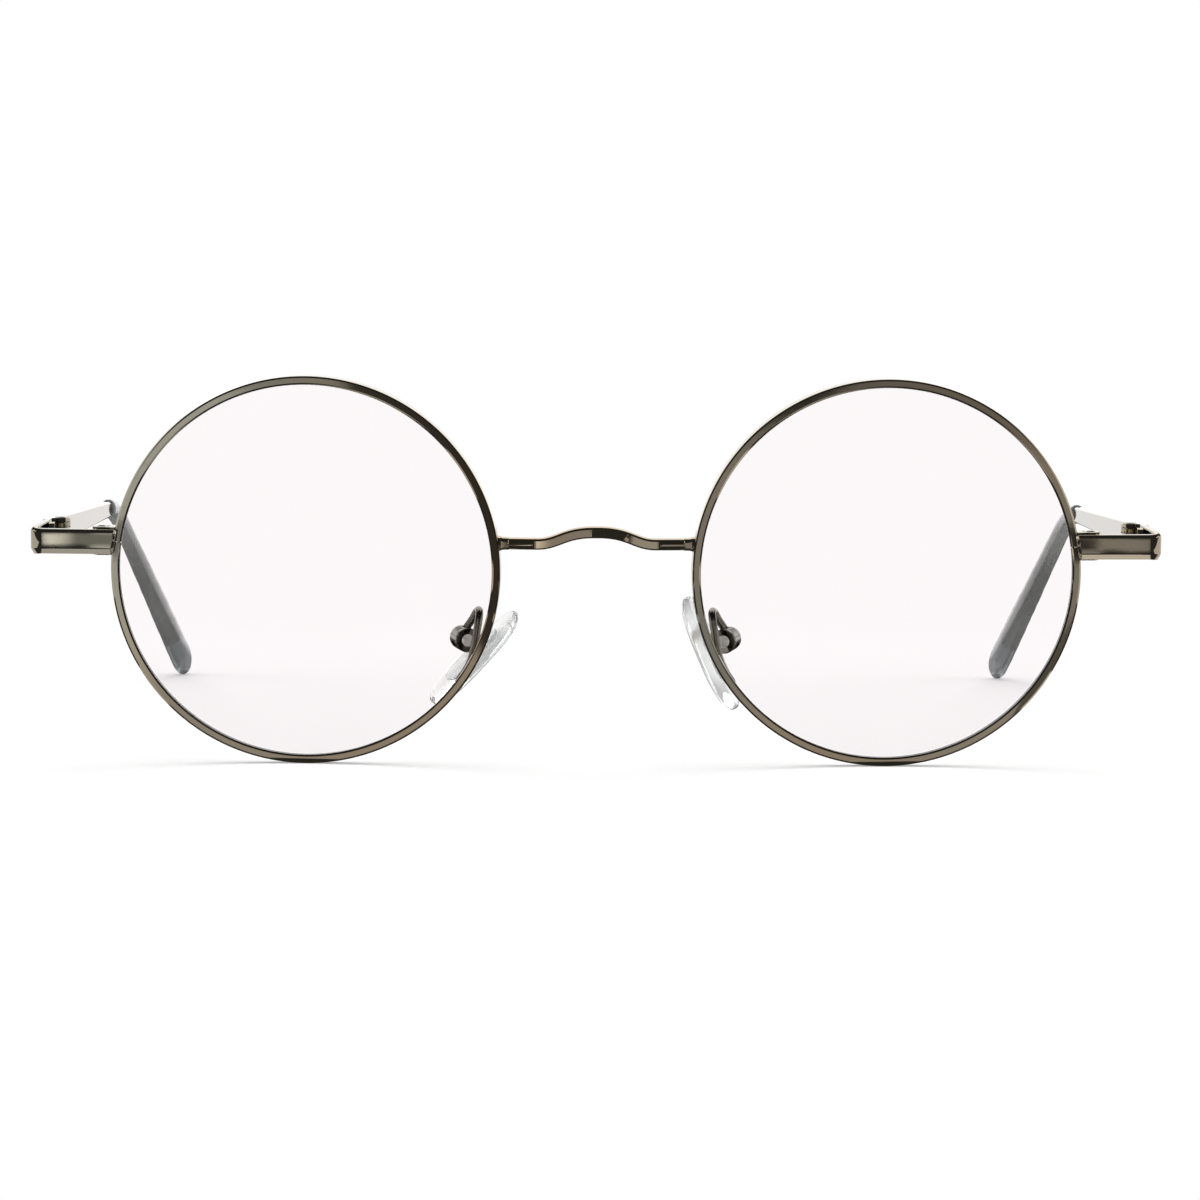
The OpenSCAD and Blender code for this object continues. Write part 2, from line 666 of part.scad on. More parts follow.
bridge();
rim(RIGHT);  // right_rim
rim(LEFT);  // left_rim
lens(RIGHT);  // right_lens
lens(LEFT);  // left_lens
end_piece(RIGHT);  // right_end_piece
end_piece(LEFT);  // left_end_piece
upper_closing_barrel(RIGHT);  // right_upper_closing_barrel
upper_closing_barrel(LEFT);  // left_upper_closing_barrel
lower_closing_barrel(RIGHT);  // right_lower_closing_barrel
lower_closing_barrel(LEFT);  // left_lower_closing_barrel
rim_screw(RIGHT);  // right_rim_screw
rim_screw(LEFT);  // left_rim_screw
front_hinge_leaf(RIGHT);  // right_front_hinge_leaf
front_hinge_leaf(LEFT);  // left_front_hinge_leaf
hinge_screw(RIGHT);  // right_hinge_screw
hinge_screw(LEFT);  // left_hinge_screw
pad_arm(RIGHT);  // right_pad_arm
pad_arm(LEFT);  // left_pad_arm
pad_box(RIGHT);  // right_pad_box
pad_box(LEFT);  // left_pad_box
pad_screw(RIGHT);  // right_pad_screw
pad_screw(LEFT);  // left_pad_screw
pad_core(RIGHT);  // right_pad_core
pad_core(LEFT);  // left_pad_core
nose_pad(RIGHT);  // right_nose_pad
nose_pad(LEFT);  // left_nose_pad
temple_hinge_leaf(RIGHT);  // right_temple_hinge_leaf
temple_hinge_leaf(LEFT);  // left_temple_hinge_leaf
temple(RIGHT);  // right_temple
temple(LEFT);  // left_temple
temple_tip(RIGHT);  // right_temple_tip
temple_tip(LEFT);  // left_temple_tip
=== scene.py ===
"""Round metal eyeglasses: the finished look of every piece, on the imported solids.

Shapes are worked out in millimetres in the frame of their own piece, and each
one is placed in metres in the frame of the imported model. Left and right are the
wearer's. The front faces -Y and the open temples run back along +Y.
"""
import math
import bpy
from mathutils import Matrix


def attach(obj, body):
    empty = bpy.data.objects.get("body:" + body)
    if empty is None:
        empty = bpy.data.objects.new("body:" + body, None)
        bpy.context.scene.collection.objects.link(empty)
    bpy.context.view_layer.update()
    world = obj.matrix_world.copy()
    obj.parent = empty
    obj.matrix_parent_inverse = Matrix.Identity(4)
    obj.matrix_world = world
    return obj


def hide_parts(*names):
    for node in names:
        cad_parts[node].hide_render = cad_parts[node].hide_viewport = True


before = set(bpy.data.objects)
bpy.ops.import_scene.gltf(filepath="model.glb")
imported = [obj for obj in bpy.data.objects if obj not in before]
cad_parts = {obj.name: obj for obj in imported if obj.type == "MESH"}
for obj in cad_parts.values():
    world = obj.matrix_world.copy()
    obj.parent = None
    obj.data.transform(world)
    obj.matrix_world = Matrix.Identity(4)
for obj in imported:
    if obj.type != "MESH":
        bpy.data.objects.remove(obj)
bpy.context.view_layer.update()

from types import SimpleNamespace

import bmesh
import bpy
from mathutils import Matrix, Vector

bl_info = {
    "name": "Round eyeglasses",
    "version": (1, 0, 0),
    "blender": (4, 5, 0),
    "location": "3D View > Sidebar > Eyeglasses",
    "description": "Round metal eyeglasses with clear lenses, folding temples and rocking nose pads",
    "category": "Add Mesh",
}

RIGHT = -1
LEFT = 1
SIDES = {RIGHT: "right", LEFT: "left"}

# Placing of the front, its rims, hinges and pads, in millimetres and degrees
TILT = 4.5
WRAP = 3.0
SLOPE = 0.742491
RIM_X = 35.0
RIM_Z = 23.5466
FRONT_Y = -67.8495
HINGE = Vector((65.15, 7.4, 3.3))
PAD_SCREW = Vector((16.0, 5.4, -9.0))
PAD_SPLAY = 16.0
PAD_LEAN = 35.0
PAD_ROCK = {RIGHT: 10.0, LEFT: -10.0}

# Gaps between soldered pieces and between sliding ones
SEAT = 0.01
SLIDE = 0.05


def turn(degrees, axis):
    return Matrix.Rotation(math.radians(degrees), 4, axis)


def shift(x, y, z):
    return Matrix.Translation((x, y, z))


FRONT = shift(0, FRONT_Y, RIM_Z) @ turn(TILT, "X")


def on_side(side):
    return Matrix.Diagonal((side, 1, 1, 1))


def rim_place(side):
    return on_side(side) @ FRONT @ shift(RIM_X, 0, 0) @ turn(WRAP, "Z")


def hinge_place(side):
    return on_side(side) @ Matrix.Translation(FRONT @ HINGE) @ turn(-SLOPE, "X")


def pad_place(side, lean):
    return on_side(side) @ FRONT @ Matrix.Translation(PAD_SCREW) @ turn(-PAD_SPLAY, "Z") @ turn(-lean, "Y")


def rim_to_front(x, y, z):
    return shift(RIM_X, 0, 0) @ turn(WRAP, "Z") @ Vector((x, y, z))


def mix(a, b, t):
    """From a to b, for numbers and for links."""
    return a + (b - a) * t


def ease(t):
    t = max(0.0, min(1.0, t))
    return t * t * (3 - 2 * t)


def spread(start, stop, steps):
    """Evenly spaced numbers from start to stop."""
    return [mix(start, stop, i / steps) for i in range(steps + 1)]


def heading(degrees):
    return Vector((math.cos(math.radians(degrees)), math.sin(math.radians(degrees))))


def arc(centre, radius, start, stop, steps):
    """Points round a centre from one angle to another, in degrees."""
    return [Vector(centre) + radius * heading(angle) for angle in spread(start, stop, steps)]


def oval(width, height, count):
    return [(width / 2 * math.cos(math.tau * i / count), height / 2 * math.sin(math.tau * i / count))
            for i in range(count)]


# Sizes and colours


def number(name, description, default, **kind):
    return bpy.props.FloatProperty(name=name, description=description, default=default, **kind)


def length(name, description, default):
    return number(name, description, default, min=0.0, subtype="DISTANCE", unit="LENGTH", precision=5)


def share(name, description, default, top=1.0):
    return number(name, description, default, min=0.0, max=top, subtype="FACTOR")


def power(name, description, default):
    return number(name, description, default, min=0.0, subtype="POWER", unit="POWER")


def angle(name, description, degrees):
    return number(name, description, math.radians(degrees), subtype="ANGLE", unit="ROTATION")


def colour(name, description, default):
    return bpy.props.FloatVectorProperty(
        name=name, description=description, default=default, size=3, min=0.0, max=1.0, subtype="COLOR")


class EyeglassSizes(bpy.types.PropertyGroup):
    """Sizes of the pieces"""

    lens_radius: length("Lens radius", "Radius of a lens as seen inside its rim", 0.0225)
    lens_thickness: length("Lens thickness", "Thickness of a lens", 0.0018)
    lens_curve: length("Lens curve", "Radius of a lens's front surface", 0.130)
    rim_width: length("Rim width", "Width of a rim seen from the front", 0.00105)
    rim_depth: length("Rim depth", "Depth of a rim from front to back", 0.0022)
    rim_rounding: length("Rim rounding", "Radius of a rim's rounded edges", 0.00006)
    rim_bevel: length("Rim bevel", "Width of the bevel along each front edge of a rim", 0.00022)
    bridge_height: length("Bridge height", "Height of the bridge's bar", 0.00145)
    bridge_depth: length("Bridge depth", "Depth of the bridge's bar", 0.0016)
    bridge_rise: length("Bridge rise", "Rise of the bridge's arch", 0.00145)
    plate_thickness: length("End piece thickness", "Thickness of an end piece", 0.0011)
    plate_height: length("End piece height", "Height of an end piece over its rim", 0.0030)
    plate_height_hinge: length("End piece height at the hinge", "Height where it meets the temple", 0.0034)
    blade_height: length("Temple height", "Height of a temple's blade at the hinge", 0.0034)
    blade_height_tip: length("Temple height at the tip", "Height of a blade at its plastic tip", 0.00215)
    blade_thickness: length("Temple thickness", "Thickness of a temple's blade", 0.0012)
    tip_height: length("Tip height", "Height of a temple tip near its end", 0.00502)
    tip_thickness: length("Tip thickness", "Thickness of a temple tip near its end", 0.0028)
    wire_radius: length("Pad arm wire", "Radius of a pad arm's wire", 0.00048)
    pad_length: length("Pad length", "Length of a nose pad", 0.0150)
    pad_width: length("Pad width", "Width of a nose pad", 0.0074)
    pad_thickness: length("Pad thickness", "Thickness of a nose pad", 0.0026)


class EyeglassFinish(bpy.types.PropertyGroup):
    """Colours and finishes of the pieces"""

    plating: colour("Plating", "Main colour of the plated metal", (0.370, 0.315, 0.235))
    plating_warm: colour("Warm plating", "Colour where the plating is thin", (0.380, 0.303, 0.212))
    plating_cool: colour("Cool plating", "Colour where the plating is greenish", (0.340, 0.318, 0.256))
    plating_roughness: share("Plating roughness", "Roughness of the polished plating", 0.055)
    # Painted shade: the same plating as the rest, made darker so that the pad arms and boxes look near black
    plating_in_painted_shade: colour("Small pieces", "Colour of the pad arms and pad boxes", (0.150, 0.137, 0.115))
    steel: colour("Screws", "Colour of the steel screws", (0.86, 0.85, 0.80))
    lens: colour("Lenses", "Tint of the lenses", (0.976, 0.944, 0.952))
    pad: colour("Nose pads", "Tint of the soft clear pads", (0.965, 0.975, 0.970))
    pad_core: colour("Pad cores", "Tint of the stiff cores in the pads", (0.93, 0.945, 0.94))
    tip: colour("Temple tips", "Tint of the translucent tips", (0.395, 0.42, 0.425))


class EyeglassStudio(bpy.types.PropertyGroup):
    """Floor, light and camera"""

    floor_radius: length("Floor radius", "Radius of the white floor", 3.0)
    back_light: power("Back light", "Power of the softbox behind and above", 10.4)
    side_light: power("Side lights", "Power of each softbox at the sides", 2.2)
    ambient: share("Ambient", "Even light from all round", 0.45, 2.0)
    camera_place: bpy.props.FloatVectorProperty(
        name="Camera", description="Place of the camera", default=(-0.0036, -0.70785, 0.0612), size=3,
        subtype="TRANSLATION", unit="LENGTH")
    camera_yaw: angle("Yaw", "Turn of the camera to its left", -0.365)
    camera_pitch: angle("Pitch", "Lean of the camera down", 3.678)
    camera_roll: angle("Roll", "Roll of the camera", -0.340)
    camera_lens: number("Focal length", "Focal length on a sensor 36 mm wide", 159.375, min=1.0)


def in_millimetres(context):
    """The sizes set in the panel, in millimetres."""
    sizes = context.scene.eyeglass_sizes
    return SimpleNamespace(**{name: getattr(sizes, name) * 1000 for name in EyeglassSizes.__annotations__})


# Shader expressions

BLACK = (0.0, 0.0, 0.0, 1.0)
WHITE = (1.0, 1.0, 1.0, 1.0)


class Link:
    """An output socket whose arithmetic adds Math nodes."""

    def __init__(self, nodes, socket):
        self.nodes = nodes
        self.socket = socket

    def _math(self, operation, *values):
        return self.nodes.add("ShaderNodeMath", {"operation": operation}, dict(enumerate(values)))

    def __add__(self, other):
        return self._math("ADD", self, other)

    def __sub__(self, other):
        return self._math("SUBTRACT", self, other)

    def __rsub__(self, other):
        return self._math("SUBTRACT", other, self)

    def __mul__(self, other):
        return self._math("MULTIPLY", self, other)

    __radd__ = __add__
    __rmul__ = __mul__

    def __truediv__(self, other):
        return self._math("DIVIDE", self, other)

    def __rtruediv__(self, other):
        return self._math("DIVIDE", other, self)

    def clamp(self):
        return self.nodes.add("ShaderNodeMath", {"operation": "ADD", "use_clamp": True}, {0: self, 1: 0.0})

    def step(self, low, high):
        """0 below low, 1 above high and smooth between them."""
        return self.nodes.add("ShaderNodeMapRange", {"interpolation_type": "SMOOTHSTEP"},
                              {"Value": self, "From Min": low, "From Max": high})


class Nodes:
    """The node tree of a material or world."""

    def __init__(self, owner):
        owner.use_nodes = True
        self.tree = owner.node_tree
        self.tree.nodes.clear()

    def add(self, kind, settings=None, sockets=None, output=0):
        """A node of that kind, with its settings made first and then the values or links of its sockets."""
        node = self.tree.nodes.new(kind)
        for key, value in (settings or {}).items():
            setattr(node, key, value)
        for key, value in (sockets or {}).items():
            if isinstance(value, Link):
                self.tree.links.new(value.socket, node.inputs[key])
            else:
                node.inputs[key].default_value = value
        return Link(self, node.outputs[output]) if len(node.outputs) else node

    def outputs(self, kind, names, sockets=None):
        """Several outputs of one new node."""
        node = self.add(kind, None, sockets).socket.node
        return [Link(self, node.outputs[name]) for name in names]

    def place(self):
        return self.add("ShaderNodeTexCoord", output="Object")

    def noise(self, scale, detail=2.0, roughness=0.5, stretch=None):
        """Noise from 0 to 1 over the object's own coordinates."""
        vector = self.place()
        if stretch:
            vector = self.add("ShaderNodeMapping", None, {"Vector": vector, "Scale": stretch})
        return self.add("ShaderNodeTexNoise", None,
                        {"Vector": vector, "Scale": scale, "Detail": detail, "Roughness": roughness})

    def blend(self, factor, a, b):
        """Colour a turning into colour b."""
        a, b = (tint if isinstance(tint, Link) else (*tint[:3], 1.0) for tint in (a, b))
        return self.add("ShaderNodeMix", {"data_type": "RGBA"}, {0: factor, 6: a, 7: b}, output=2)

    def grey(self, level):
        return self.blend(level, BLACK, WHITE)

    def skin(self, base, rough, relief, more):
        """Principled surface with that colour, roughness and relief in metres, and more of its sockets."""
        bump = self.add("ShaderNodeBump", None, {"Height": relief, "Distance": 1.0, "Strength": 1.0})
        return self.add("ShaderNodeBsdfPrincipled", None, {
            "Base Color": base, "Roughness": rough, "Normal": bump, **more})

    def glow(self, tint, strength=1.0):
        return self.add("ShaderNodeEmission", None, {"Color": tint, "Strength": strength})

    def rays(self):
        """Whether a ray is the camera's own, has passed something clear, or is mirrored by metal and so sees
        the painted reflections, less of them behind clear pieces.
        """
        camera, passed, depth = self.outputs(
            "ShaderNodeLightPath", ("Is Camera Ray", "Is Transmission Ray", "Glossy Depth"))
        return camera, passed, depth.clamp() * (1 - PAINT_DROPPED_BEHIND_CLEAR * passed)

    def clear_to_lamps(self, surface, amount):
        """Lets that share of the lamps' light pass, so that a clear piece casts a faint shadow."""
        shadow = self.add("ShaderNodeLightPath", output="Is Shadow Ray")
        passing = self.add("ShaderNodeBsdfTransparent", None, {"Color": WHITE})
        return self.add("ShaderNodeMixShader", None, {0: shadow * amount, 1: surface, 2: passing})


def scaled(tint, factor):
    return tuple(min(1.0, channel * factor) for channel in tint)


def plated_metal(g, tint, warm, cool, roughness):
    """Polished plating: warm and cool drift, hazy patches, polishing marks and slightly uneven ground."""
    drift = g.noise(26.0, 1.0)
    base = g.blend(drift.step(0.36, 0.50), warm, tint)
    base = g.blend(drift.step(0.52, 0.66), base, cool)
    specks = g.noise(2600.0, 2.0)
    base = g.blend(specks.step(0.66, 0.80) * 0.30, base, scaled(tint, 0.62))
    haze = g.noise(420.0, 3.0, 0.6)
    marks = g.noise(900.0, 2.0, 0.5, stretch=(0.25, 1.6, 2.4))
    rough = (roughness - 0.030) + haze * 0.04 + marks.step(0.55, 0.75) * 0.04
    ground = g.noise(130.0, 1.0) * 2.2e-5 + marks * 5e-7 + specks * 2e-7
    return g.skin(base, rough, ground, {"Metallic": 1.0})


def turned_steel(g, tint):
    """Small screws: turned steel with a darker oxide in its hollows."""
    grime = g.noise(1500.0, 3.0, 0.6)
    base = g.blend(grime.step(0.50, 0.72), tint, scaled(tint, 0.55))
    relief = g.noise(4200.0, 2.0) * 1.2e-6 + grime * 2e-6
    return g.skin(base, 0.13 + grime * 0.12, relief, {"Metallic": 0.4})


def lens_plastic(g, tint):
    """Clear lens: a hard-coated resin with the faintest haze and dust."""
    smear = g.noise(60.0, 3.0, 0.6, stretch=(1.0, 1.0, 0.5))
    dust = g.noise(3000.0, 1.0)
    base = g.blend(smear.step(0.35, 0.75), tint, scaled(tint, 0.994))
    rough = 0.004 + smear.step(0.55, 0.80) * 0.012 + dust.step(0.74, 0.80) * 0.05
    resin = g.skin(base, rough, smear * 2e-7, {
        "IOR": 1.50, "Specular Tint": (0.04, 0.04, 0.04, 1.0), "Transmission Weight": 1.0})
    return g.clear_to_lamps(resin, 0.97)


def soft_clear(g, tint, roughness, passing):
    """Clear soft plastic: a skin from the mould, faint flow lines and a little clouding."""
    flow = g.noise(220.0, 3.0, 0.55, stretch=(1.0, 0.6, 1.8))
    grain = g.noise(1900.0, 2.0)
    base = g.blend(flow.step(0.35, 0.75) * 0.4, tint, scaled(tint, 0.90))
    plastic = g.skin(base, roughness + flow * 0.06 + grain * 0.03, flow * 4e-6 + grain * 5e-7, {
        "IOR": 1.26, "Transmission Weight": 0.82})
    return g.clear_to_lamps(plastic, passing)


def grey_tip_plastic(g, tint):
    """Translucent grey plastic, paler higher up, with flow lines of the mould and a satin skin."""
    flow = g.noise(130.0, 3.0, 0.55, stretch=(1.0, 0.35, 1.0))
    grain = g.noise(2400.0, 2.0)
    base = g.blend(flow.step(0.30, 0.72), tint, scaled(tint, 0.80))
    height, = g.outputs("ShaderNodeSeparateXYZ", "Z", {0: g.place()})
    # Paler above a height of 16 mm
    base = g.blend(height.step(0.016, 0.0265) * 0.7, base, scaled(tint, 1.9))
    plastic = g.skin(base, 0.12 + flow * 0.06 + grain * 0.04, flow * 1.5e-5 + grain * 1.2e-6, {
        "IOR": 1.46, "Transmission Weight": 0.62})
    return g.clear_to_lamps(plastic, 0.45)


# For each finish, the CAD's slot and what makes its surface from the colours in the panel
FINISHES = {
    "plated metal": ("gunmetal", lambda g, look: plated_metal(
        g, look.plating, look.plating_warm, look.plating_cool, look.plating_roughness)),
    # The same plating in a darker colour: painted shade on the pad arms and boxes
    "plated metal in painted shade": ("gunmetal", lambda g, look: plated_metal(
        g, look.plating_in_painted_shade, scaled(look.plating_in_painted_shade, 0.92), scaled(look.plating_in_painted_shade, 1.08),
        look.plating_roughness)),
    "turned steel": ("screw_steel", lambda g, look: turned_steel(g, look.steel)),
    "lens resin": ("lens", lambda g, look: lens_plastic(g, look.lens)),
    "soft clear plastic": ("clear_pad", lambda g, look: soft_clear(g, look.pad, 0.03, 0.90)),
    "stiff clear plastic": ("pad_core_plastic", lambda g, look: soft_clear(g, look.pad_core, 0.05, 0.80)),
    "grey tip plastic": ("tip_plastic", lambda g, look: grey_tip_plastic(g, look.tip)),
}


def made_material(name, maker, *settings):
    """A new material whose surface the maker adds to its nodes."""
    material = bpy.data.materials.new(name)
    g = Nodes(material)
    g.add("ShaderNodeOutputMaterial", None, {"Surface": maker(g, *settings)})
    return material


def finish(name):
    """One of the object's materials, made when it is first asked for."""
    if name in bpy.data.materials:
        return bpy.data.materials[name]
    return made_material(name, FINISHES[name][1], bpy.context.scene.eyeglass_finish)


# Shaping


def swept(outlines):
    """Closed solid drawn from one outline through the others, which all have as many points."""
    shape = bmesh.new()
    ring = bmesh.ops.create_circle(shape, cap_ends=True, radius=1.0, segments=len(outlines[0]))["verts"]
    cap = ring[0].link_faces[0]
    for vertex, point in zip(cap.verts, outlines[0]):
        vertex.co = point
    first = cap
    for outline in outlines[1:]:
        made = bmesh.ops.extrude_face_region(shape, geom=[cap])["geom"]
        ahead = next(part for part in made if isinstance(part, bmesh.types.BMFace))
        for vertex, point in zip(ahead.verts, outline):
            vertex.co = point
        if cap is not first:
            bmesh.ops.delete(shape, geom=[cap], context="FACES_ONLY")
        cap = ahead
    return shape


def revolved(profile, rounded=(), radius=0.0, axis=(0, 0, 1), angle=math.tau, steps=48):
    """A flat profile turned about an axis through the origin, with some of its corners rounded first."""
    shape = bmesh.new()
    corners = [shape.verts.new(point) for point in profile]
    face = shape.faces.new(corners)
    if radius > 0:
        bmesh.ops.bevel(
            shape, geom=[corners[i] for i in rounded], offset=radius, offset_type="OFFSET",
            segments=4, profile=0.5, affect="VERTICES", material=-1)
        face = next(f for f in shape.faces if f.is_valid)
    parts = list(face.verts) + list(face.edges)
    full = abs(angle - math.tau) < 1e-9
    if full:
        bmesh.ops.delete(shape, geom=[face], context="FACES_ONLY")
    else:
        parts.append(face)
    bmesh.ops.spin(
        shape, geom=parts, cent=(0, 0, 0), axis=axis, dvec=(0, 0, 0), angle=angle, steps=steps,
        use_merge=full, use_duplicate=False)
    return shape


def mesh_of(name, shape):
    """A shape as a mesh, which uses the shape up."""
    mesh = bpy.data.meshes.new(name)
    shape.to_mesh(mesh)
    shape.free()
    return mesh


def added(shape, other, place=None):
    """Puts another shape's faces into this one."""
    if place is not None:
        bmesh.ops.transform(other, matrix=place, verts=other.verts)
    loose = mesh_of("loose", other)
    shape.from_mesh(loose)
    bpy.data.meshes.remove(loose)


def edges_at(shape, axis, place):
    """Edges that lie in the plane at that place along an axis."""
    return [e for e in shape.edges if all(abs(v.co[axis] - place) < 1e-4 for v in e.verts)]


def softened(shape, edges, radius, segments=2):
    bmesh.ops.bevel(
        shape, geom=edges, offset=radius, offset_type="OFFSET", segments=segments, profile=0.5,
        affect="EDGES", material=-1, clamp_overlap=True)


def softened_over(shape, degrees, radius, segments=2):
    """Rounds a closed shape where it turns by more than that."""
    bmesh.ops.recalc_face_normals(shape, faces=shape.faces)
    least = math.radians(degrees)
    softened(shape, [e for e in shape.edges if len(e.link_faces) == 2 and e.calc_face_angle(0.0) > least],
             radius, segments)


def cut_off(shape, point, outward):
    """Removes what lies beyond a plane, and leaves the cut open."""
    bmesh.ops.bisect_plane(
        shape, geom=shape.verts[:] + shape.edges[:] + shape.faces[:], dist=1e-5,
        plane_co=point, plane_no=outward, clear_outer=True)


def block(size, centre):
    shape = bmesh.new()
    bmesh.ops.create_cube(shape, size=1.0, matrix=Matrix.Translation(centre) @ Matrix.Diagonal((*size, 1.0)))
    return shape


def rounded_block(size, centre, radius, segments=2):
    shape = block(size, centre)
    softened(shape, list(shape.edges), radius, segments)
    return shape


def rod(radius, low, high, rounding):
    """Solid rod about the z axis, with its upper rim rounded."""
    return revolved([(0, 0, low), (radius, 0, low), (radius, 0, high), (0, 0, high)], (2,), rounding)


def pipe(outer, inner, low, high, rounding=0.06):
    """Short tube about the z axis."""
    profile = [(inner, 0, low), (outer, 0, low), (outer, 0, high), (inner, 0, high)]
    return revolved(profile, (0, 1, 2, 3), rounding)


def slotted_screw(head_r, head_h, shank_r, shank_h):
    """Screw along z: a slotted, slightly domed head from 0 to head_h, then the shank."""
    slot = head_r * 0.17
    shape = rod(head_r, head_h * 0.45, head_h, 0.04)
    for flip in (0.0, 180.0):
        half = bmesh.new()
        bmesh.ops.create_circle(half, cap_ends=True, radius=head_r, segments=48)
        cut_off(half, (0, slot, 0), (0, -1, 0))
        made = bmesh.ops.extrude_face_region(half, geom=half.faces[:], use_keep_orig=True)["geom"]
        top = [part for part in made if isinstance(part, bmesh.types.BMVert)]
        bmesh.ops.translate(half, verts=top, vec=(0, 0, head_h * 0.5))
        bmesh.ops.recalc_face_normals(half, faces=half.faces[:])
        along_slot = edges_at(half, 1, slot)
        softened(half, [e for e in edges_at(half, 2, 0) if e not in along_slot], head_h * 0.3, 3)
        added(shape, half, turn(flip, "Z"))
    added(shape, rod(shank_r, head_h * 0.9, head_h + shank_h, 0.1))
    return shape


def linked(name, data):
    """A new object in the scene."""
    made = bpy.data.objects.new(name, data)
    bpy.context.scene.collection.objects.link(made)
    return made


def put(name, shape, place, body, node, material, crease=38.0):
    """Makes a shape, still in millimetres, a placed piece that stands for its CAD node."""
    bmesh.ops.remove_doubles(shape, verts=shape.verts, dist=2e-5)
    bmesh.ops.transform(shape, matrix=place, verts=shape.verts)
    bmesh.ops.recalc_face_normals(shape, faces=shape.faces)
    bmesh.ops.scale(shape, vec=(0.001, 0.001, 0.001), verts=shape.verts)
    mesh = mesh_of(name, shape)
    mesh.shade_smooth()
    mesh.set_sharp_from_angle(angle=math.radians(crease))
    mesh.materials.append(finish(material))
    piece = linked(name, mesh)
    piece.modifiers.new("Even shading", "WEIGHTED_NORMAL").keep_sharp = True
    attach(piece, body)
    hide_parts(node)


def put_on(side, name, shape, place, material, crease=38.0, body=None, node=None):
    """Makes a shape the piece of that name on one side, on the front or on a moving body."""
    word = SIDES[side]
    put(f"{name}_{word}", shape, place, f"{word}_{body}" if body else "front", f"{word}_{node or name}",
        material, crease)


# Rims, lenses and barrels

GROOVE_DEPTH = 0.55
GROOVE_HALF = 0.6
BEVEL_SLOPE = 0.58
SPLIT_GAP = 0.12
RIM_STEPS = 300
RIM_INSIDE = 0.014  # keeps the rims within the flats of the coarser solids
LENS_GAP = 0.03
BARREL_H = 1.65


def rim_radius(size):
    return size.lens_radius + size.rim_width


class EYEGLASS_OT_rims(bpy.types.Operator):
    """Add both rims: grooved metal rings, split on their outer sides"""

    bl_idname = "eyeglass.rims"
    bl_label = "Rims"

    def execute(self, context):
        size = in_millimetres(context)
        inner, outer = size.lens_radius, rim_radius(size) - RIM_INSIDE
        half, bevel = size.rim_depth / 2, size.rim_bevel
        drop = bevel * BEVEL_SLOPE
        profile = [
            (inner, drop - half, 0), (inner + bevel, -half, 0),
            (outer - bevel, -half, 0), (outer, drop - half, 0), (outer, half, 0), (inner, half, 0),
            (inner, GROOVE_HALF, 0), (inner + GROOVE_DEPTH, 0, 0), (inner, -GROOVE_HALF, 0),
        ]
        split = SPLIT_GAP / outer
        start = math.degrees(math.asin(HINGE.z / outer) + split / 2)
        for side in SIDES:
            ring = revolved(profile, (0, 3, 4, 5), size.rim_rounding, (0, -1, 0), math.tau - split, RIM_STEPS)
            put_on(side, "rim", ring, rim_place(side) @ turn(-start, "Y"), "plated metal", 24.0)
        return {"FINISHED"}


class EYEGLASS_OT_lenses(bpy.types.Operator):
    """Add both lenses: thin curved shells with a bevel round the edge"""

    bl_idname = "eyeglass.lenses"
    bl_label = "Lenses"

    def execute(self, context):
        size = in_millimetres(context)
        edge = size.lens_radius - LENS_GAP
        front, thick = size.lens_curve, size.lens_thickness
        centre = math.sqrt((front - thick / 2) ** 2 - (size.lens_radius + GROOVE_DEPTH) ** 2)
        steps = 12
        radii = [edge * i / steps for i in range(steps + 1)]
        outline = [(r, 0, math.sqrt(front ** 2 - r * r) - centre) for r in radii]
        bevel = GROOVE_HALF - LENS_GAP
        outline += [(edge, 0, bevel), (edge + GROOVE_DEPTH, 0, 0), (edge, 0, -bevel)]
        outline += [(r, 0, math.sqrt((front - thick) ** 2 - r * r) - centre) for r in reversed(radii)]
        for side in SIDES:
            put_on(side, "lens", revolved(outline, steps=180), rim_place(side) @ turn(90, "X"), "lens resin")
        return {"FINISHED"}


class EYEGLASS_OT_closing_barrels(bpy.types.Operator):
    """Add the barrels that clamp each split rim, and the screws through them"""

    bl_idname = "eyeglass.closing_barrels"
    bl_label = "Closing barrels and rim screws"

    def execute(self, context):
        size = in_millimetres(context)
        outer = rim_radius(size)
        barrel_r, bore = size.rim_depth / 2, 0.56
        barrel_x = outer + barrel_r + 0.1
        web_reach = 1.4
        foot = HINGE.z - SPLIT_GAP / 2 - BARREL_H
        for side, word in SIDES.items():
            for level, low in (("upper", HINGE.z + SPLIT_GAP / 2), ("lower", foot)):
                barrel = pipe(barrel_r, bore, low, low + BARREL_H)
                bmesh.ops.translate(barrel, verts=barrel.verts, vec=(barrel_x, 0, 0))
                web = rounded_block((web_reach, 2 * barrel_r, BARREL_H),
                                    (barrel_x - bore - web_reach / 2 - 0.02, 0, low + BARREL_H / 2), 0.05)
                for vertex in web.verts:
                    vertex.co.x = max(vertex.co.x, math.sqrt((outer + SEAT) ** 2 - vertex.co.z ** 2))
                added(barrel, web)
                put(f"closing_barrel_{level}_{word}", barrel, rim_place(side), "front",
                    f"{word}_{level}_closing_barrel", "plated metal")
            screw = slotted_screw(0.85, 0.45, 0.55, 2 * BARREL_H - 0.6)
            place = rim_place(side) @ shift(barrel_x, 0, foot - SEAT)
            put_on(side, "rim_screw", screw, place, "turned steel")
        return {"FINISHED"}


# Bridge

BRIDGE_Z = 3.5
BRIDGE_FOOT = 4.6
BRIDGE_BOW = 0.5
BAR_POWER = 2.2
ARCH_FLAT = 0.3
ARCH_STEPS = 60
FLANK_LOW = 0.36
FLANK_HIGH = 0.46
GROUND_END = 7.7
GROUND_FADE = 0.3
GROUND_CUT = 0.125
GROUND_POINTS = 6
ROUND_POINTS = 40
COLLAR = 1.15
COLLAR_GROW = 0.055
SOLDER = 0.25


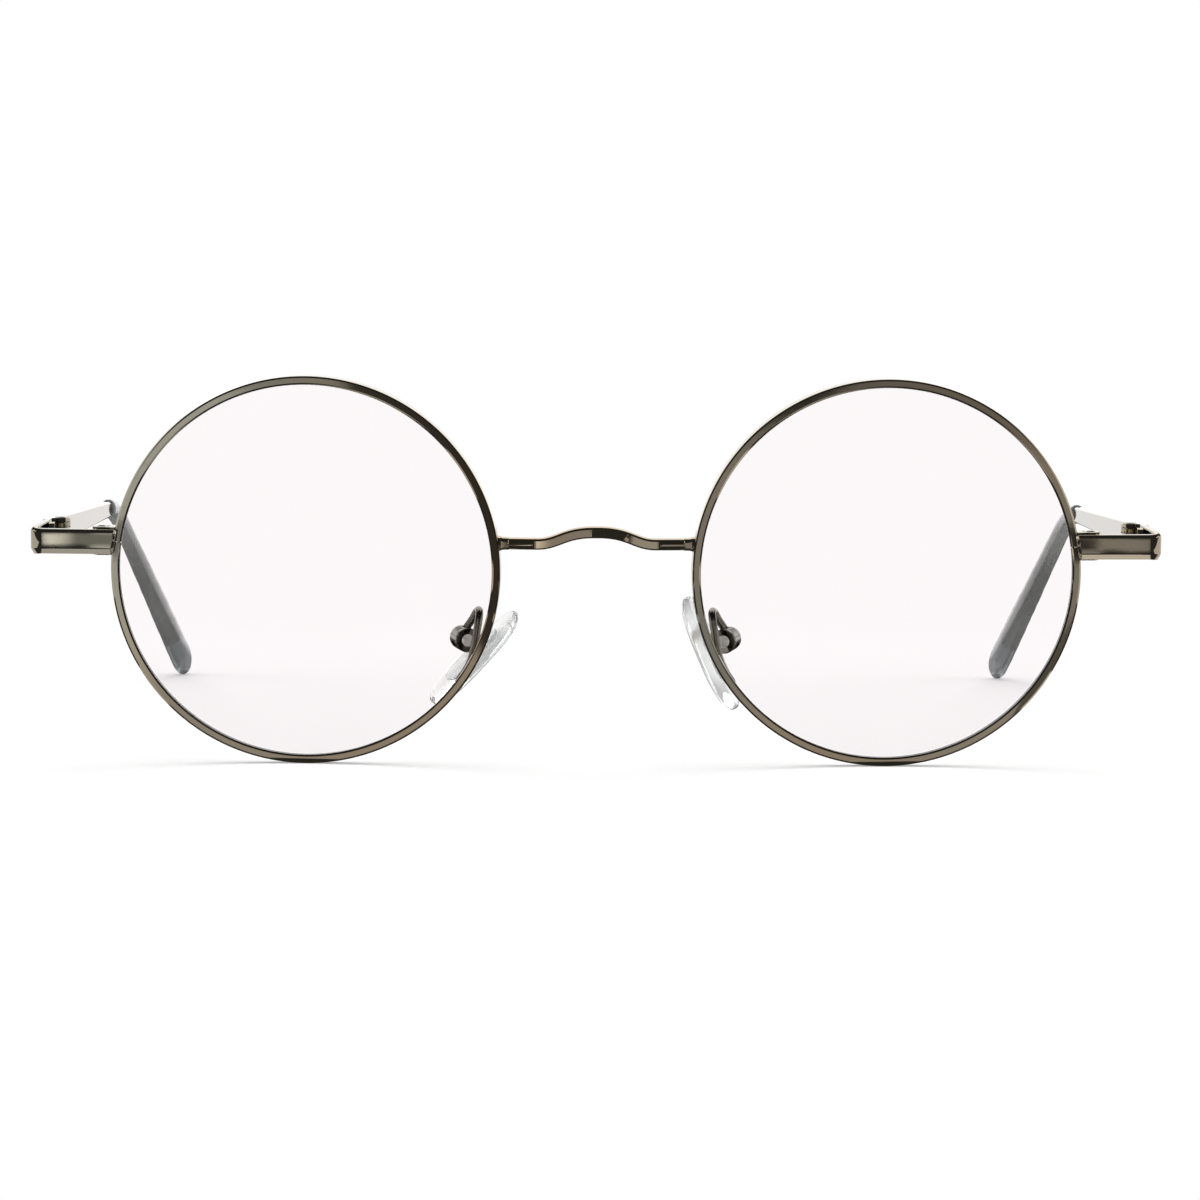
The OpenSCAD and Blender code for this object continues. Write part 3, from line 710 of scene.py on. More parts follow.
def arch_curve(end_x, rise):
    """Points of the arch's left half, from its foot to its crown."""
    run = end_x - BRIDGE_FOOT - ARCH_FLAT
    points = []
    for i in range(ARCH_STEPS + 1):
        t = i / ARCH_STEPS
        along = 3 * (1 - t) ** 2 * t * FLANK_LOW + 3 * (1 - t) * t * t * FLANK_HIGH + t ** 3
        up = 3 * (1 - t) * t * t + t ** 3
        points.append((end_x - BRIDGE_FOOT - run * along, rise * up))
    return points


def level_at(curve, x):
    """Height of the arch at a distance from its middle."""
    x = abs(x)
    if x >= curve[0][0]:
        return 0.0
    for (far, low), (near, high) in zip(curve, curve[1:]):
        if x >= near:
            return mix(high, low, (x - near) / (far - near))
    return curve[-1][1]


def ground_lean(x):
    """Degrees by which the flat ground faces down. A polisher's three strokes differ a little."""
    left = mix(-1.0, 4.5, ease((x - 3.35) / 0.3))
    return mix(left, 5.5, ease((-0.47 - x) / 0.16))


def bar_outline(depth, height, ground=None, lean=0.0):
    """Points round a bar: first down the flat ground on its front, then round the rest."""
    slant = math.tan(math.radians(lean))

    def point(a):
        c, s = math.cos(a), math.sin(a)
        reach = (abs(c) ** BAR_POWER + abs(s) ** BAR_POWER) ** (-1 / BAR_POWER)
        return Vector((depth * reach * c, height * reach * s))

    def edge(away):
        inside, outside = 0.0, away * math.pi / 2
        for _ in range(24):
            half = (inside + outside) / 2
            spot = point(math.pi + half)
            if spot.x < ground - slant * spot.y:
                inside = half
            else:
                outside = half
        return inside

    high = low = least = math.radians(5)
    if ground is not None and ground > -depth:
        high, low = max(least, -edge(-1)), max(least, edge(1))
    top, foot = math.pi - high, math.pi + low
    points = [point(top).lerp(point(foot), i / GROUND_POINTS) for i in range(GROUND_POINTS + 1)]
    points += [point(mix(foot, top + math.tau, i / ROUND_POINTS)) for i in range(1, ROUND_POINTS)]
    return points


class EYEGLASS_OT_bridge(bpy.types.Operator):
    """Add the bridge: a round bar with solder collars and a flat ground along the front of its arch"""

    bl_idname = "eyeglass.bridge"
    bl_label = "Bridge"

    def execute(self, context):
        size = in_millimetres(context)
        outer = rim_radius(size)
        half_d, half_h = size.bridge_depth / 2, size.bridge_height / 2
        end = rim_to_front(-math.sqrt(outer ** 2 - BRIDGE_Z ** 2), 0, BRIDGE_Z)
        curve = arch_curve(end.x, size.bridge_rise)
        wrap = math.radians(WRAP)

        def on_rim(side):
            """The soldered end, which follows the skin of the rim."""
            ring = []
            for spot in bar_outline(half_d + SOLDER, half_h + SOLDER):
                z = BRIDGE_Z + spot.y
                skin = RIM_X - math.sqrt((outer + SEAT) ** 2 - z * z) * math.cos(wrap)
                ring.append((side * (skin - spot.x * math.tan(wrap)), end.y + spot.x, z))
            return ring

        # Places along the bar, closer together at the collars, the ends of the ground and its strokes
        from_rim = [0.25, 0.45, 0.7, 0.95, COLLAR - 0.03, COLLAR + 0.05, 1.32, 1.8, 2.4, 3.0, 3.4]
        half = [end.x - d for d in from_rim] + [7.9, GROUND_END, 7.65, 7.6, 7.5, 7.4, 7.2]
        half += [6.8 - 0.4 * i for i in range(17)]
        strokes = [-0.47, -0.51, -0.55, -0.59, -0.63, 3.35, 3.425, 3.5, 3.575, 3.65]
        stations = [on_rim(LEFT)]
        for x in sorted(half + [-x for x in half] + strokes + [0.0], reverse=True):
            z = BRIDGE_Z + level_at(curve, x)
            along = Vector((-0.2, level_at(curve, x - 0.1) - level_at(curve, x + 0.1))).normalized()
            gap = end.x - abs(x)
            grow = 0.16 * max(0.0, 1 - gap / 0.7) ** 2 + (COLLAR_GROW if gap < COLLAR else 0.0)
            cut = GROUND_CUT * ease((GROUND_END - abs(x)) / GROUND_FADE)
            bow = end.y - BRIDGE_BOW * (1 - (x / end.x) ** 2)
            stations.append([
                (x + spot.y * along.y, bow + spot.x, z - spot.y * along.x)
                for spot in bar_outline(half_d + grow, half_h + grow, cut - half_d, ground_lean(x))])
        stations.append(on_rim(RIGHT))
        put("bridge_bar", swept(stations), FRONT, "front", "bridge", "plated metal", 22.0)
        return {"FINISHED"}


# End pieces and hinges

END_CORNER = 1.0
END_LEAN = 7.5
PLATE_LAP = 0.6
BEND_STEPS = 14
HINGE_INSET = 1.75
KNUCKLE_R = 1.1
KNUCKLE_H = 3.8
KNUCKLE_MIDDLE = 1.3
LEAF_T = 0.7
LEAF_LEN = 4.6
LEAF_H = 3.0
LEAF_CLEAR = KNUCKLE_R + 0.1
HEAD_PROUD = 0.15
HINGE_SCREW_R = 0.6
HINGE_HEAD_H = 0.5


def hinge_to_front(x, y, z):
    return Matrix.Translation(HINGE) @ turn(-(TILT + SLOPE), "X") @ Vector((x, y, z))


def facets(t, h):
    """Outline of an end piece that is t thick and h high: a face, a high and a low facet, and a flat back."""
    top_h, top_t, low_h, low_t, inner = 0.35, 0.30, 0.70, 0.45, 0.15
    return [
        (t / 2, h / 2 - top_h), (t / 2 - top_t, h / 2), (inner - t / 2, h / 2), (-t / 2, h / 2 - inner),
        (-t / 2, inner - h / 2), (inner - t / 2, -h / 2), (t / 2 - low_t, -h / 2),
        (t / 2 - 0.036, low_h - 0.056 - h / 2), (t / 2, low_h + 0.11 - h / 2)]


class EYEGLASS_OT_end_pieces(bpy.types.Operator):
    """Add both end pieces: faceted plates that turn the corner and run back to the hinges"""

    bl_idname = "eyeglass.end_pieces"
    bl_label = "End pieces"

    def execute(self, context):
        size = in_millimetres(context)
        thick = size.plate_thickness
        lap = rim_radius(size) - PLATE_LAP
        start = rim_to_front(lap, -size.rim_depth / 2 - thick / 2 - SEAT, HINGE.z)
        stop = hinge_to_front(HINGE_INSET, -SLIDE, 0)
        plate = heading(WRAP)
        across = heading(END_LEAN)
        meet = start.xy + plate * ((stop.xy - start.xy).dot(across) / plate.dot(across))
        bend = 90 + END_LEAN - WRAP
        centre = meet + END_CORNER * (heading(WRAP + 90) - plate * math.tan(math.radians(bend / 2)))
        corner = arc(centre, END_CORNER, WRAP - 90, END_LEAN, BEND_STEPS)
        plan = [(start.xy, WRAP), (start.xy + plate * 0.35, WRAP)]
        plan += zip(corner, spread(WRAP, WRAP + bend, BEND_STEPS))
        plan.append((stop.xy, WRAP + bend))
        end_circle = math.hypot(lap, HINGE.z)
        kink = math.radians(TILT + SLOPE)

        # The inner end is lower and thinner, and the corner stays within the flats of the coarser solids
        lower, thinner, within = 0.4, 0.3, 0.016
        stations = []
        last = len(plan) - 1
        for i, (spot, way) in enumerate(plan):
            outward = heading(way - 90).to_3d()
            up = Vector((0, math.sin(kink), math.cos(kink))) if i == last else Vector((0, 0, 1))
            middle = Vector((*spot, stop.z if i == last else HINGE.z))
            grown = min(1.0, max(0.0, (i - 1) / BEND_STEPS))
            h = mix(size.plate_height, size.plate_height_hinge, grown) - (lower if i == 0 else 0)
            t = thick - (thinner if i == 0 else 0)
            inset = -thinner / 2 if i == 0 else 0.0 if i in (1, last) else -within
            ring = []
            for depth, height in facets(t, h):
                # The inner end moves out above and below, so that it follows the rim
                follow = math.sqrt(end_circle ** 2 - (HINGE.z + height) ** 2) - lap if i < 2 else 0.0
                ring.append(middle + follow * plate.to_3d() + (depth + inset) * outward + height * up)
            stations.append(ring)
        for side in SIDES:
            piece = swept(stations)
            softened_over(piece, 20, 0.05)
            put_on(side, "end_piece", piece, on_side(side) @ FRONT, "plated metal", 30.0)
        return {"FINISHED"}


def leaf(direction, knuckles, bore):
    """Hinge leaf: a plate with a rounded end and its knuckles round the z axis."""
    face = HINGE_INSET - 0.6
    shape = block((LEAF_T, LEAF_LEN - LEAF_CLEAR, LEAF_H),
                  (face - LEAF_T / 2, direction * (LEAF_CLEAR + LEAF_LEN) / 2, 0))
    corners = [e for e in edges_at(shape, 1, direction * LEAF_LEN) if e.verts[0].co.x != e.verts[1].co.x]
    softened(shape, corners, 0.9, 6)
    softened_over(shape, 40, 0.05)
    reach, ahead = face - SLIDE, LEAF_CLEAR + 0.2
    for low, high in knuckles:
        added(shape, pipe(KNUCKLE_R, bore, low, high))
        middle = ((reach + bore) / 2, direction * (ahead + bore) / 2, (low + high) / 2)
        added(shape, rounded_block((reach - bore, ahead - bore, high - low), middle, 0.05))
    return shape


class EYEGLASS_OT_hinges(bpy.types.Operator):
    """Add both hinges: the leaves on the front and on the temples, and their screws"""

    bl_idname = "eyeglass.hinges"
    bl_label = "Hinges"

    def execute(self, context):
        half, middle = KNUCKLE_H / 2, KNUCKLE_MIDDLE / 2
        upside_down = shift(0, 0, half + HEAD_PROUD + SEAT) @ Matrix.Diagonal((1, 1, -1, 1))
        for side in SIDES:
            place = hinge_place(side)
            front = leaf(-1, ((middle + SLIDE, half), (-half, -middle - SLIDE)), HINGE_SCREW_R + SEAT)
            put_on(side, "front_hinge_leaf", front, place, "plated metal")
            back = leaf(1, ((-middle, middle),), HINGE_SCREW_R + SLIDE)
            put_on(side, "temple_hinge_leaf", back, place, "plated metal", body="temple_arm")
            screw = slotted_screw(0.85, HINGE_HEAD_H, HINGE_SCREW_R, KNUCKLE_H - HINGE_HEAD_H)
            put_on(side, "hinge_screw", screw, place @ upside_down, "turned steel")
        return {"FINISHED"}


# Temples and tips

TEMPLE_LEN = 139.0
TEMPLE_DROP = 32.6
BEND_R = 20.0
BEND_START = 93.5 - BEND_R * math.tan(math.radians(TEMPLE_DROP / 2))
BEND_END = BEND_START + BEND_R * math.radians(TEMPLE_DROP)
TEMPLE_INWARD = 7.4
INSET_RAMP = 8.0
TIP_START = 85.5
BLADE_FULL = 8.0
BLADE_CORNER = 0.30
CORE_R = 0.7
CORE_END = TEMPLE_LEN - 9


def temple_inset(s):
    def raw(d):
        return 0 if d <= 0 else d * d / (2 * INSET_RAMP) if d < INSET_RAMP else d - INSET_RAMP / 2
    return TEMPLE_INWARD * raw(s - BEND_START) / raw(TEMPLE_LEN - BEND_START)


def temple_ring(s, outline):
    """An outline across the temple at a distance from the hinge axis, in the frame of its hinge."""
    angle = max(0.0, min(math.radians(TEMPLE_DROP), (s - BEND_START) / BEND_R))
    straight, rest = min(s, BEND_START), max(0.0, s - BEND_END)
    middle = Vector((
        HINGE_INSET - temple_inset(s),
        straight + BEND_R * math.sin(angle) + rest * math.cos(angle),
        -BEND_R * (1 - math.cos(angle)) - rest * math.sin(angle)))
    return [middle + Vector((x, z * math.sin(angle), z * math.cos(angle))) for x, z in outline]


def rounded_box(width, height, radius):
    """Outline of a bar with rounded corners."""
    points = []
    for corner, (sx, sz) in enumerate(((1, 1), (-1, 1), (-1, -1), (1, -1))):
        centre = (sx * (width / 2 - radius), sz * (height / 2 - radius))
        points += arc(centre, radius, corner * 90, corner * 90 + 90, 4)
    return points


class EYEGLASS_OT_temples(bpy.types.Operator):
    """Add both temples: tapered blades and the core wires that run on inside the tips"""

    bl_idname = "eyeglass.temples"
    bl_label = "Temples"

    def execute(self, context):
        size = in_millimetres(context)
        stations = []
        for s in (SLIDE, 4.0, BLADE_FULL, 20.0, 35.0, 50.0, 65.0, 78.0, 82.0, TIP_START - SEAT):
            taper = max(0.0, (s - BLADE_FULL) / (TIP_START - BLADE_FULL))
            tall = mix(size.blade_height, size.blade_height_tip, taper)
            stations.append(temple_ring(s, rounded_box(size.blade_thickness, tall, BLADE_CORNER)))
        spots = [TIP_START - 1] + spread(BEND_START, BEND_END, 12) + spread(BEND_END, CORE_END, 4)[1:]
        for side in SIDES:
            temple = swept(stations)
            softened_over(temple, 60, 0.05)
            added(temple, swept([temple_ring(s, oval(2 * CORE_R, 2 * CORE_R, 20)) for s in spots]))
            put_on(side, "temple_blade", temple, hinge_place(side), "plated metal", 35.0,
                   body="temple_arm", node="temple")
        return {"FINISHED"}


class EYEGLASS_OT_temple_tips(bpy.types.Operator):
    """Add both temple tips: swelling plastic sleeves with rounded ends, bent down and in"""

    bl_idname = "eyeglass.temple_tips"
    bl_label = "Temple tips"

    def execute(self, context):
        size = in_millimetres(context)
        wide_start, tall_start, round_end, mouth = 2.2, 2.6, 3.0, 0.25

        def outline(s):
            q = max(0.0, (s - (TEMPLE_LEN - round_end)) / round_end)
            close = math.sqrt(max(0.0, 1 - q * q))
            lip = 1 - 0.22 * max(0.0, 1 - (s - TIP_START) / mouth) ** 2 if s < TIP_START + mouth else 1.0
            swell = ease((s - TIP_START) / (TEMPLE_LEN - TIP_START))
            return oval(close * lip * mix(wide_start, size.tip_thickness, swell),
                        close * lip * mix(tall_start, size.tip_height, swell), 32)

        spots = [TIP_START, TIP_START + 0.06, TIP_START + 0.14, TIP_START + mouth, TIP_START + 1.2]
        spots += spread(BEND_START, BEND_END, 16) + spread(BEND_END, TEMPLE_LEN - round_end, 12)[1:]
        spots += [TEMPLE_LEN - round_end * (1 - heading(i * 90 / 9.4).y) for i in range(1, 10)]
        for side in SIDES:
            tip = swept([temple_ring(s, outline(s)) for s in spots])
            put_on(side, "temple_tip", tip, hinge_place(side), "grey tip plastic", 50.0, body="temple_arm")
        return {"FINISHED"}


# Nose pads

BOX_R = 1.5
BOX_DEPTH = 3.0
BOX_FLAT = 1.2
BOX_WALL = 0.45
TONGUE_T = 1.1
TONGUE_R = 0.95
PAD_FACE = 1.45
PAD_LOW = 0.8
PAD_NOSE_SHARE = 0.42


def spline(points, steps):
    """A smooth line through points."""
    line = []
    last = len(points) - 1
    for i in range(last):
        a, b, c, d = points[max(0, i - 1)], points[i], points[i + 1], points[min(last, i + 2)]
        for k in range(steps):
            t = k / steps
            line.append(0.5 * (2 * b + (c - a) * t + (2 * a - 5 * b + 4 * c - d) * t * t
                               + (3 * b - a - 3 * c + d) * t ** 3))
    return line + [points[last]]


class EYEGLASS_OT_pad_arms(bpy.types.Operator):
    """Add both pad arms: wires from the backs of the rims, over a loop and down to the pad boxes"""

    bl_idname = "eyeglass.pad_arms"
    bl_label = "Pad arms"

    def execute(self, context):
        size = in_millimetres(context)
        wire = size.wire_radius
        back = size.rim_depth / 2 + wire + 0.06
        foot_r = size.lens_radius + 0.25

        def behind(degrees, radius):
            x, z = radius * heading(degrees)
            return rim_to_front(x, back, z)

        # From the soldered foot, up over the loop and down into the box
        points = [behind(216.8, foot_r), behind(208.8, foot_r - 0.15)]
        points += [PAD_SCREW + Vector(step) for step in (
            (-1.6, -3.0, 1.8), (-1.8, -1.3, 3.45), (-1.5, 0, 3.4), (-0.95, 0.15, 2.4), (-0.2, 0.1, 1.3))]
        line = spline(points, 8)
        last = len(line) - 1
        rings = []
        for i, spot in enumerate(line):
            along = (line[min(last, i + 1)] - line[max(0, i - 1)]).normalized()
            across = along.cross(Vector((1, 0, 0))).normalized()
            over = along.cross(across)
            radius = wire * (0.72 if i in (0, last) else 1.0)
            rings.append([spot + c * over + s * across for c, s in oval(2 * radius, 2 * radius, 18)])
        for side in SIDES:
            # The arms take the darker copy of the plating, which is painted shade
            put_on(side, "pad_arm", swept(rings), on_side(side) @ FRONT, "plated metal in painted shade", 50.0)
        return {"FINISHED"}


def flatted_disc(radius, low, high, flat):
    """Disc about the y axis, with a flat where it is cut at that x."""
    disc = bmesh.new()
    bmesh.ops.create_cone(disc, cap_ends=True, segments=56, radius1=radius, radius2=radius, depth=high - low,
                          matrix=shift(0, (low + high) / 2, 0) @ turn(90, "X"))
    cut_off(disc, (flat, 0, 0), (-1, 0, 0))
    bmesh.ops.holes_fill(disc, edges=[e for e in disc.edges if e.is_boundary], sides=0)
    bmesh.ops.recalc_face_normals(disc, faces=disc.faces)
    return disc


class EYEGLASS_OT_pad_boxes(bpy.types.Operator):
    """Add both pad boxes: slotted cups at the ends of the arms, and the screws through them"""

    bl_idname = "eyeglass.pad_boxes"
    bl_label = "Pad boxes and screws"

    def execute(self, context):
        slot = (TONGUE_T + 4 * SLIDE) / 2
        outside = BOX_DEPTH / 2
        for side in SIDES:
            place = pad_place(side, PAD_LEAN)
            cup = bmesh.new()
            for low, high in ((-outside, -slot), (slot, outside)):
                wall = flatted_disc(BOX_R, low, high, -BOX_FLAT)
                softened(wall, edges_at(wall, 1, math.copysign(outside, low)), 0.42, 6)
                added(cup, wall)
            added(cup, flatted_disc(BOX_R - 0.01, -slot - 0.2, slot + 0.2, BOX_R - BOX_WALL))
            # The boxes take the darker copy of the plating, which is painted shade
            put_on(side, "pad_box", cup, place, "plated metal in painted shade", 40.0)
            screw = slotted_screw(0.75, 0.4 - SEAT, 0.5, BOX_DEPTH)
            place = place @ shift(0, -outside - 0.2, 0) @ turn(-90, "X")
            put_on(side, "pad_screw", screw, place, "turned steel")
        return {"FINISHED"}


class EYEGLASS_OT_nose_pads(bpy.types.Operator):
    """Add both nose pads: soft clear pads with stiff cores, whose tongues sit in the boxes"""

    bl_idname = "eyeglass.nose_pads"
    bl_label = "Nose pads"

    def execute(self, context):
        size = in_millimetres(context)
        thick = size.pad_thickness
        count, rings, span = 44, 30, 0.992

        def fullness(q, power):
            return max(0.0, 1 - abs(q) ** power) ** (1 / 2.2)

        def ring(q):
            """Outline across the pad at a share q of half its length from its middle."""
            w = size.pad_width * fullness(q, 2.6) * (1 - 0.12 * q)
            t = thick * fullness(q, 3.4)
            points = []
            for i in range(count):
                a = math.tau * i / count
                bulge = PAD_NOSE_SHARE if math.sin(a) > 0 else 1 - PAD_NOSE_SHARE
                points.append((t * bulge * math.sin(a) - PAD_FACE - thick * PAD_NOSE_SHARE,
                               w / 2 * math.cos(a), q * size.pad_length / 2 - PAD_LOW))
            return points

        plate_t, plate_r, plate_len, depth = 0.6, 1.8, 8.4, 0.75
        front = -PAD_FACE - depth - plate_t
        near = front + plate_t / 2
        reach = -near - TONGUE_R / 2
        half = plate_len / 2 - plate_r
        outline = arc((-half, 0), plate_r, 90, 270, 18) + arc((half, 0), plate_r, -90, 90, 18)
        for side in SIDES:
            place = pad_place(side, PAD_LEAN + PAD_ROCK[side])
            pad = swept([ring(span * heading(angle).y) for angle in spread(-90, 90, rings)])
            put_on(side, "nose_pad", pad, place, "soft clear plastic", 60.0, body="pad")
            core = swept([[(x, v, -u - PAD_LOW) for u, v in outline] for x in (front, front + plate_t)])
            softened_over(core, 60, 0.12, 3)
            added(core, rounded_block((reach, TONGUE_T, 1.5), (near + reach / 2, 0, 0), 0.12, 3))
            added(core, pipe(TONGUE_R, 0.55, -TONGUE_T / 2, TONGUE_T / 2, 0.08), turn(90, "X"))
            put_on(side, "pad_core", core, place, "stiff clear plastic", 40.0, body="pad")
        return {"FINISHED"}


# Stage

FLOOR_LIFT = 0.305
LIFT_THROUGH = 0.20
# Share of the painted reflections that metal seen through clear pieces does not show
PAINT_DROPPED_BEHIND_CLEAR = 0.6
# Darkest level of the painted reflection in the metal
PAINTED_DARK_REFLECTION = 0.05
MIRROR_R = 0.0232


def painted_floor_reflection(x, y):
    """Painted reflection: the brightness of the floor as only the metal sees it, light patches on a dark
    ground.

    A place on the floor is read as the place on the front that mirrors it, so that each patch paints the
    reflection on the face of one rim, plate or stroke of the bridge, and the edges beside it stay dark.
    """
    def band(value, low, high, soft):
        return value.step(low - soft, low + soft) * (1 - value.step(high - soft, high + soft))

    on_left = x.step(-1e-4, 1e-4)
    side = 2 * on_left - 1
    aside = x * x
    ahead = -0.069 - y
    height = ahead * (0.257 - 0.2945 * ahead)
    across = (x - ahead * (side * 0.1051 + 0.0056)) / (1 + ahead * 1.5625)
    reach = across * side
    u, v = (across - side * RIM_X / 1000) * (1 / MIRROR_R), (height - 0.0235) * (1 / MIRROR_R)

    def toward(degrees):
        """How far round a rim's middle a place lies in that direction, in radii of the rim."""
        c, s = heading(degrees)
        return u * c + v * s

    # Painted reflections in the rims
    right_rim = 0.63 + 0.30 * toward(160).step(0.45, 0.80)
    right_rim = mix(right_rim, 0.50, v.step(0.88, 0.97))
    right_rim = mix(right_rim, 0.07, toward(28).step(0.55, 0.66))
    left_rim = 0.48 + 0.12 * (0 - v).step(0.50, 0.80) - 0.18 * v.step(0.55, 0.85)
    left_rim = mix(left_rim, 0.06, toward(112).step(0.955, 0.98))
    left_rim = mix(left_rim, 0.18, toward(330).step(0.98, 0.992))
    off = (u * u + v * v - 1) * MIRROR_R / (0.0034 + 0.036 * ahead)
    on_rim = (1 - (off * off).step(0.80, 1.25)) * y.step(-0.380, -0.365) * ahead.step(0.0003, 0.0006)
    level = mix(PAINTED_DARK_REFLECTION, mix(right_rim, left_rim, on_left), on_rim)

    # Painted reflections in the end pieces: the faces, the low facets and the sides
    right_plate = 0.38 + 1.30 * reach.step(0.0635, 0.0668)
    left_plate = 0.05 + 0.45 * reach.step(0.0608, 0.0612)
    on_plate = band(reach, 0.0568, 0.0682, 0.0003) * band(y, -0.206, -0.181, 0.003)
    level = mix(level, mix(right_plate, left_plate, on_left), on_plate)
    low_facet = band(aside, 0.0034, 0.0052, 0.0001) * y.step(-0.092, -0.084)
    level = mix(level, 0.90 + 0.30 * on_left, low_facet)
    level = mix(level, 1.0, aside.step(0.0150, 0.0163) * (y - 0.02 * on_left).step(-0.155, -0.145))

    # Painted reflections in the strokes of the bridge
    right_stroke = 1.50 - 0.96 * x.step(-0.0165, -0.0055)
    level = mix(level, right_stroke, band(x, -0.0175, 0.0020, 0.0005) * band(y, -0.157, -0.113, 0.004))
    level = mix(level, 0.72, band(x, 0.0050, 0.0190, 0.0005) * band(y, -0.162, -0.118, 0.004))

    # Behind the front: painted shade under the front, dark between the temples, then white, and a painted
    # dark band for the temples
    inner = 1 - aside.step(0.0030, 0.0034)
    level = mix(level, PAINTED_DARK_REFLECTION, y.step(-0.0689, -0.0680) * inner)
    level = mix(level, 1.0, mix(y.step(-0.058, -0.052), y.step(0.04, 0.06), inner))
    return mix(level, 0.15, band(aside, 0.0009, 0.0121, 0.0002) * band(y, 0.01, 0.20, 0.01))


def white_floor(g):
    """White floor that keeps the shadow near the glasses and is plain white further out; to the metal it
    shows a painted reflection instead.
    """
    direct, through, mirrored = g.rays()
    place = g.place()
    away = g.add("ShaderNodeVectorMath", {"operation": "LENGTH"}, {0: place}, output="Value")
    x, y = g.outputs("ShaderNodeSeparateXYZ", "XY", {0: place})
    white = g.blend(g.noise(35.0, 3.0), (0.80, 0.80, 0.80), (0.815, 0.812, 0.81))
    ground = g.add("ShaderNodeBsdfDiffuse", None, {"Color": white})
    lift = g.glow(g.grey(direct * FLOOR_LIFT + through * LIFT_THROUGH))
    lit = g.add("ShaderNodeAddShader", None, {0: ground, 1: lift})
    seen = (direct + through).clamp()
    far = g.add("ShaderNodeMixShader", None, {0: away.step(0.09, 0.20) * seen, 1: lit, 2: g.glow(WHITE)})
    # The painted reflection that the metal sees in the floor
    painted_reflection = g.glow(g.grey(painted_floor_reflection(x, y) * 0.5), 2.0)
    return g.add("ShaderNodeMixShader", None, {0: mirrored, 1: far, 2: painted_reflection})


def studio_world(world, ambient):
    """White behind and all round for the camera. What the metal mirrors is a painted reflection, dark in
    front with a bright band low behind, and rays through clear pieces see painted shade overhead.
    """
    g = Nodes(world)
    camera, passed, mirrored = g.rays()
    through = passed * (1 - mirrored)
    way = g.add("ShaderNodeTexCoord", output="Generated")
    y, z = g.outputs("ShaderNodeSeparateXYZ", "YZ", {0: way})
    # Painted reflection: dark, with a bright band low behind
    painted_sweep_reflection = 0.04 + y.step(0.15, 0.35) * (1 - z.step(0.25, 0.45)) * 1.30
    # Painted shade overhead, for rays that have passed something clear
    painted_overhead_shade = 1 - 0.25 * z.step(0.25, 0.75)
    level = camera + through * painted_overhead_shade + mirrored * painted_sweep_reflection + (1 - camera - through - mirrored) * ambient
    shade = g.add("ShaderNodeBackground", None, {"Color": g.grey(level * 0.5), "Strength": 2.0})
    g.add("ShaderNodeOutputWorld", None, {"Surface": shade})


def softbox(name, place, size, power):
    """Rectangular lamp that faces the glasses."""
    lamp = bpy.data.lights.new(name, "AREA")
    lamp.shape = "RECTANGLE"
    lamp.size, lamp.size_y = size
    lamp.energy = power
    holder = linked(name, lamp)
    holder.location = place
    holder.rotation_euler = (Vector((0.0, 0.0, 0.02)) - Vector(place)).to_track_quat("-Z", "Y").to_euler()


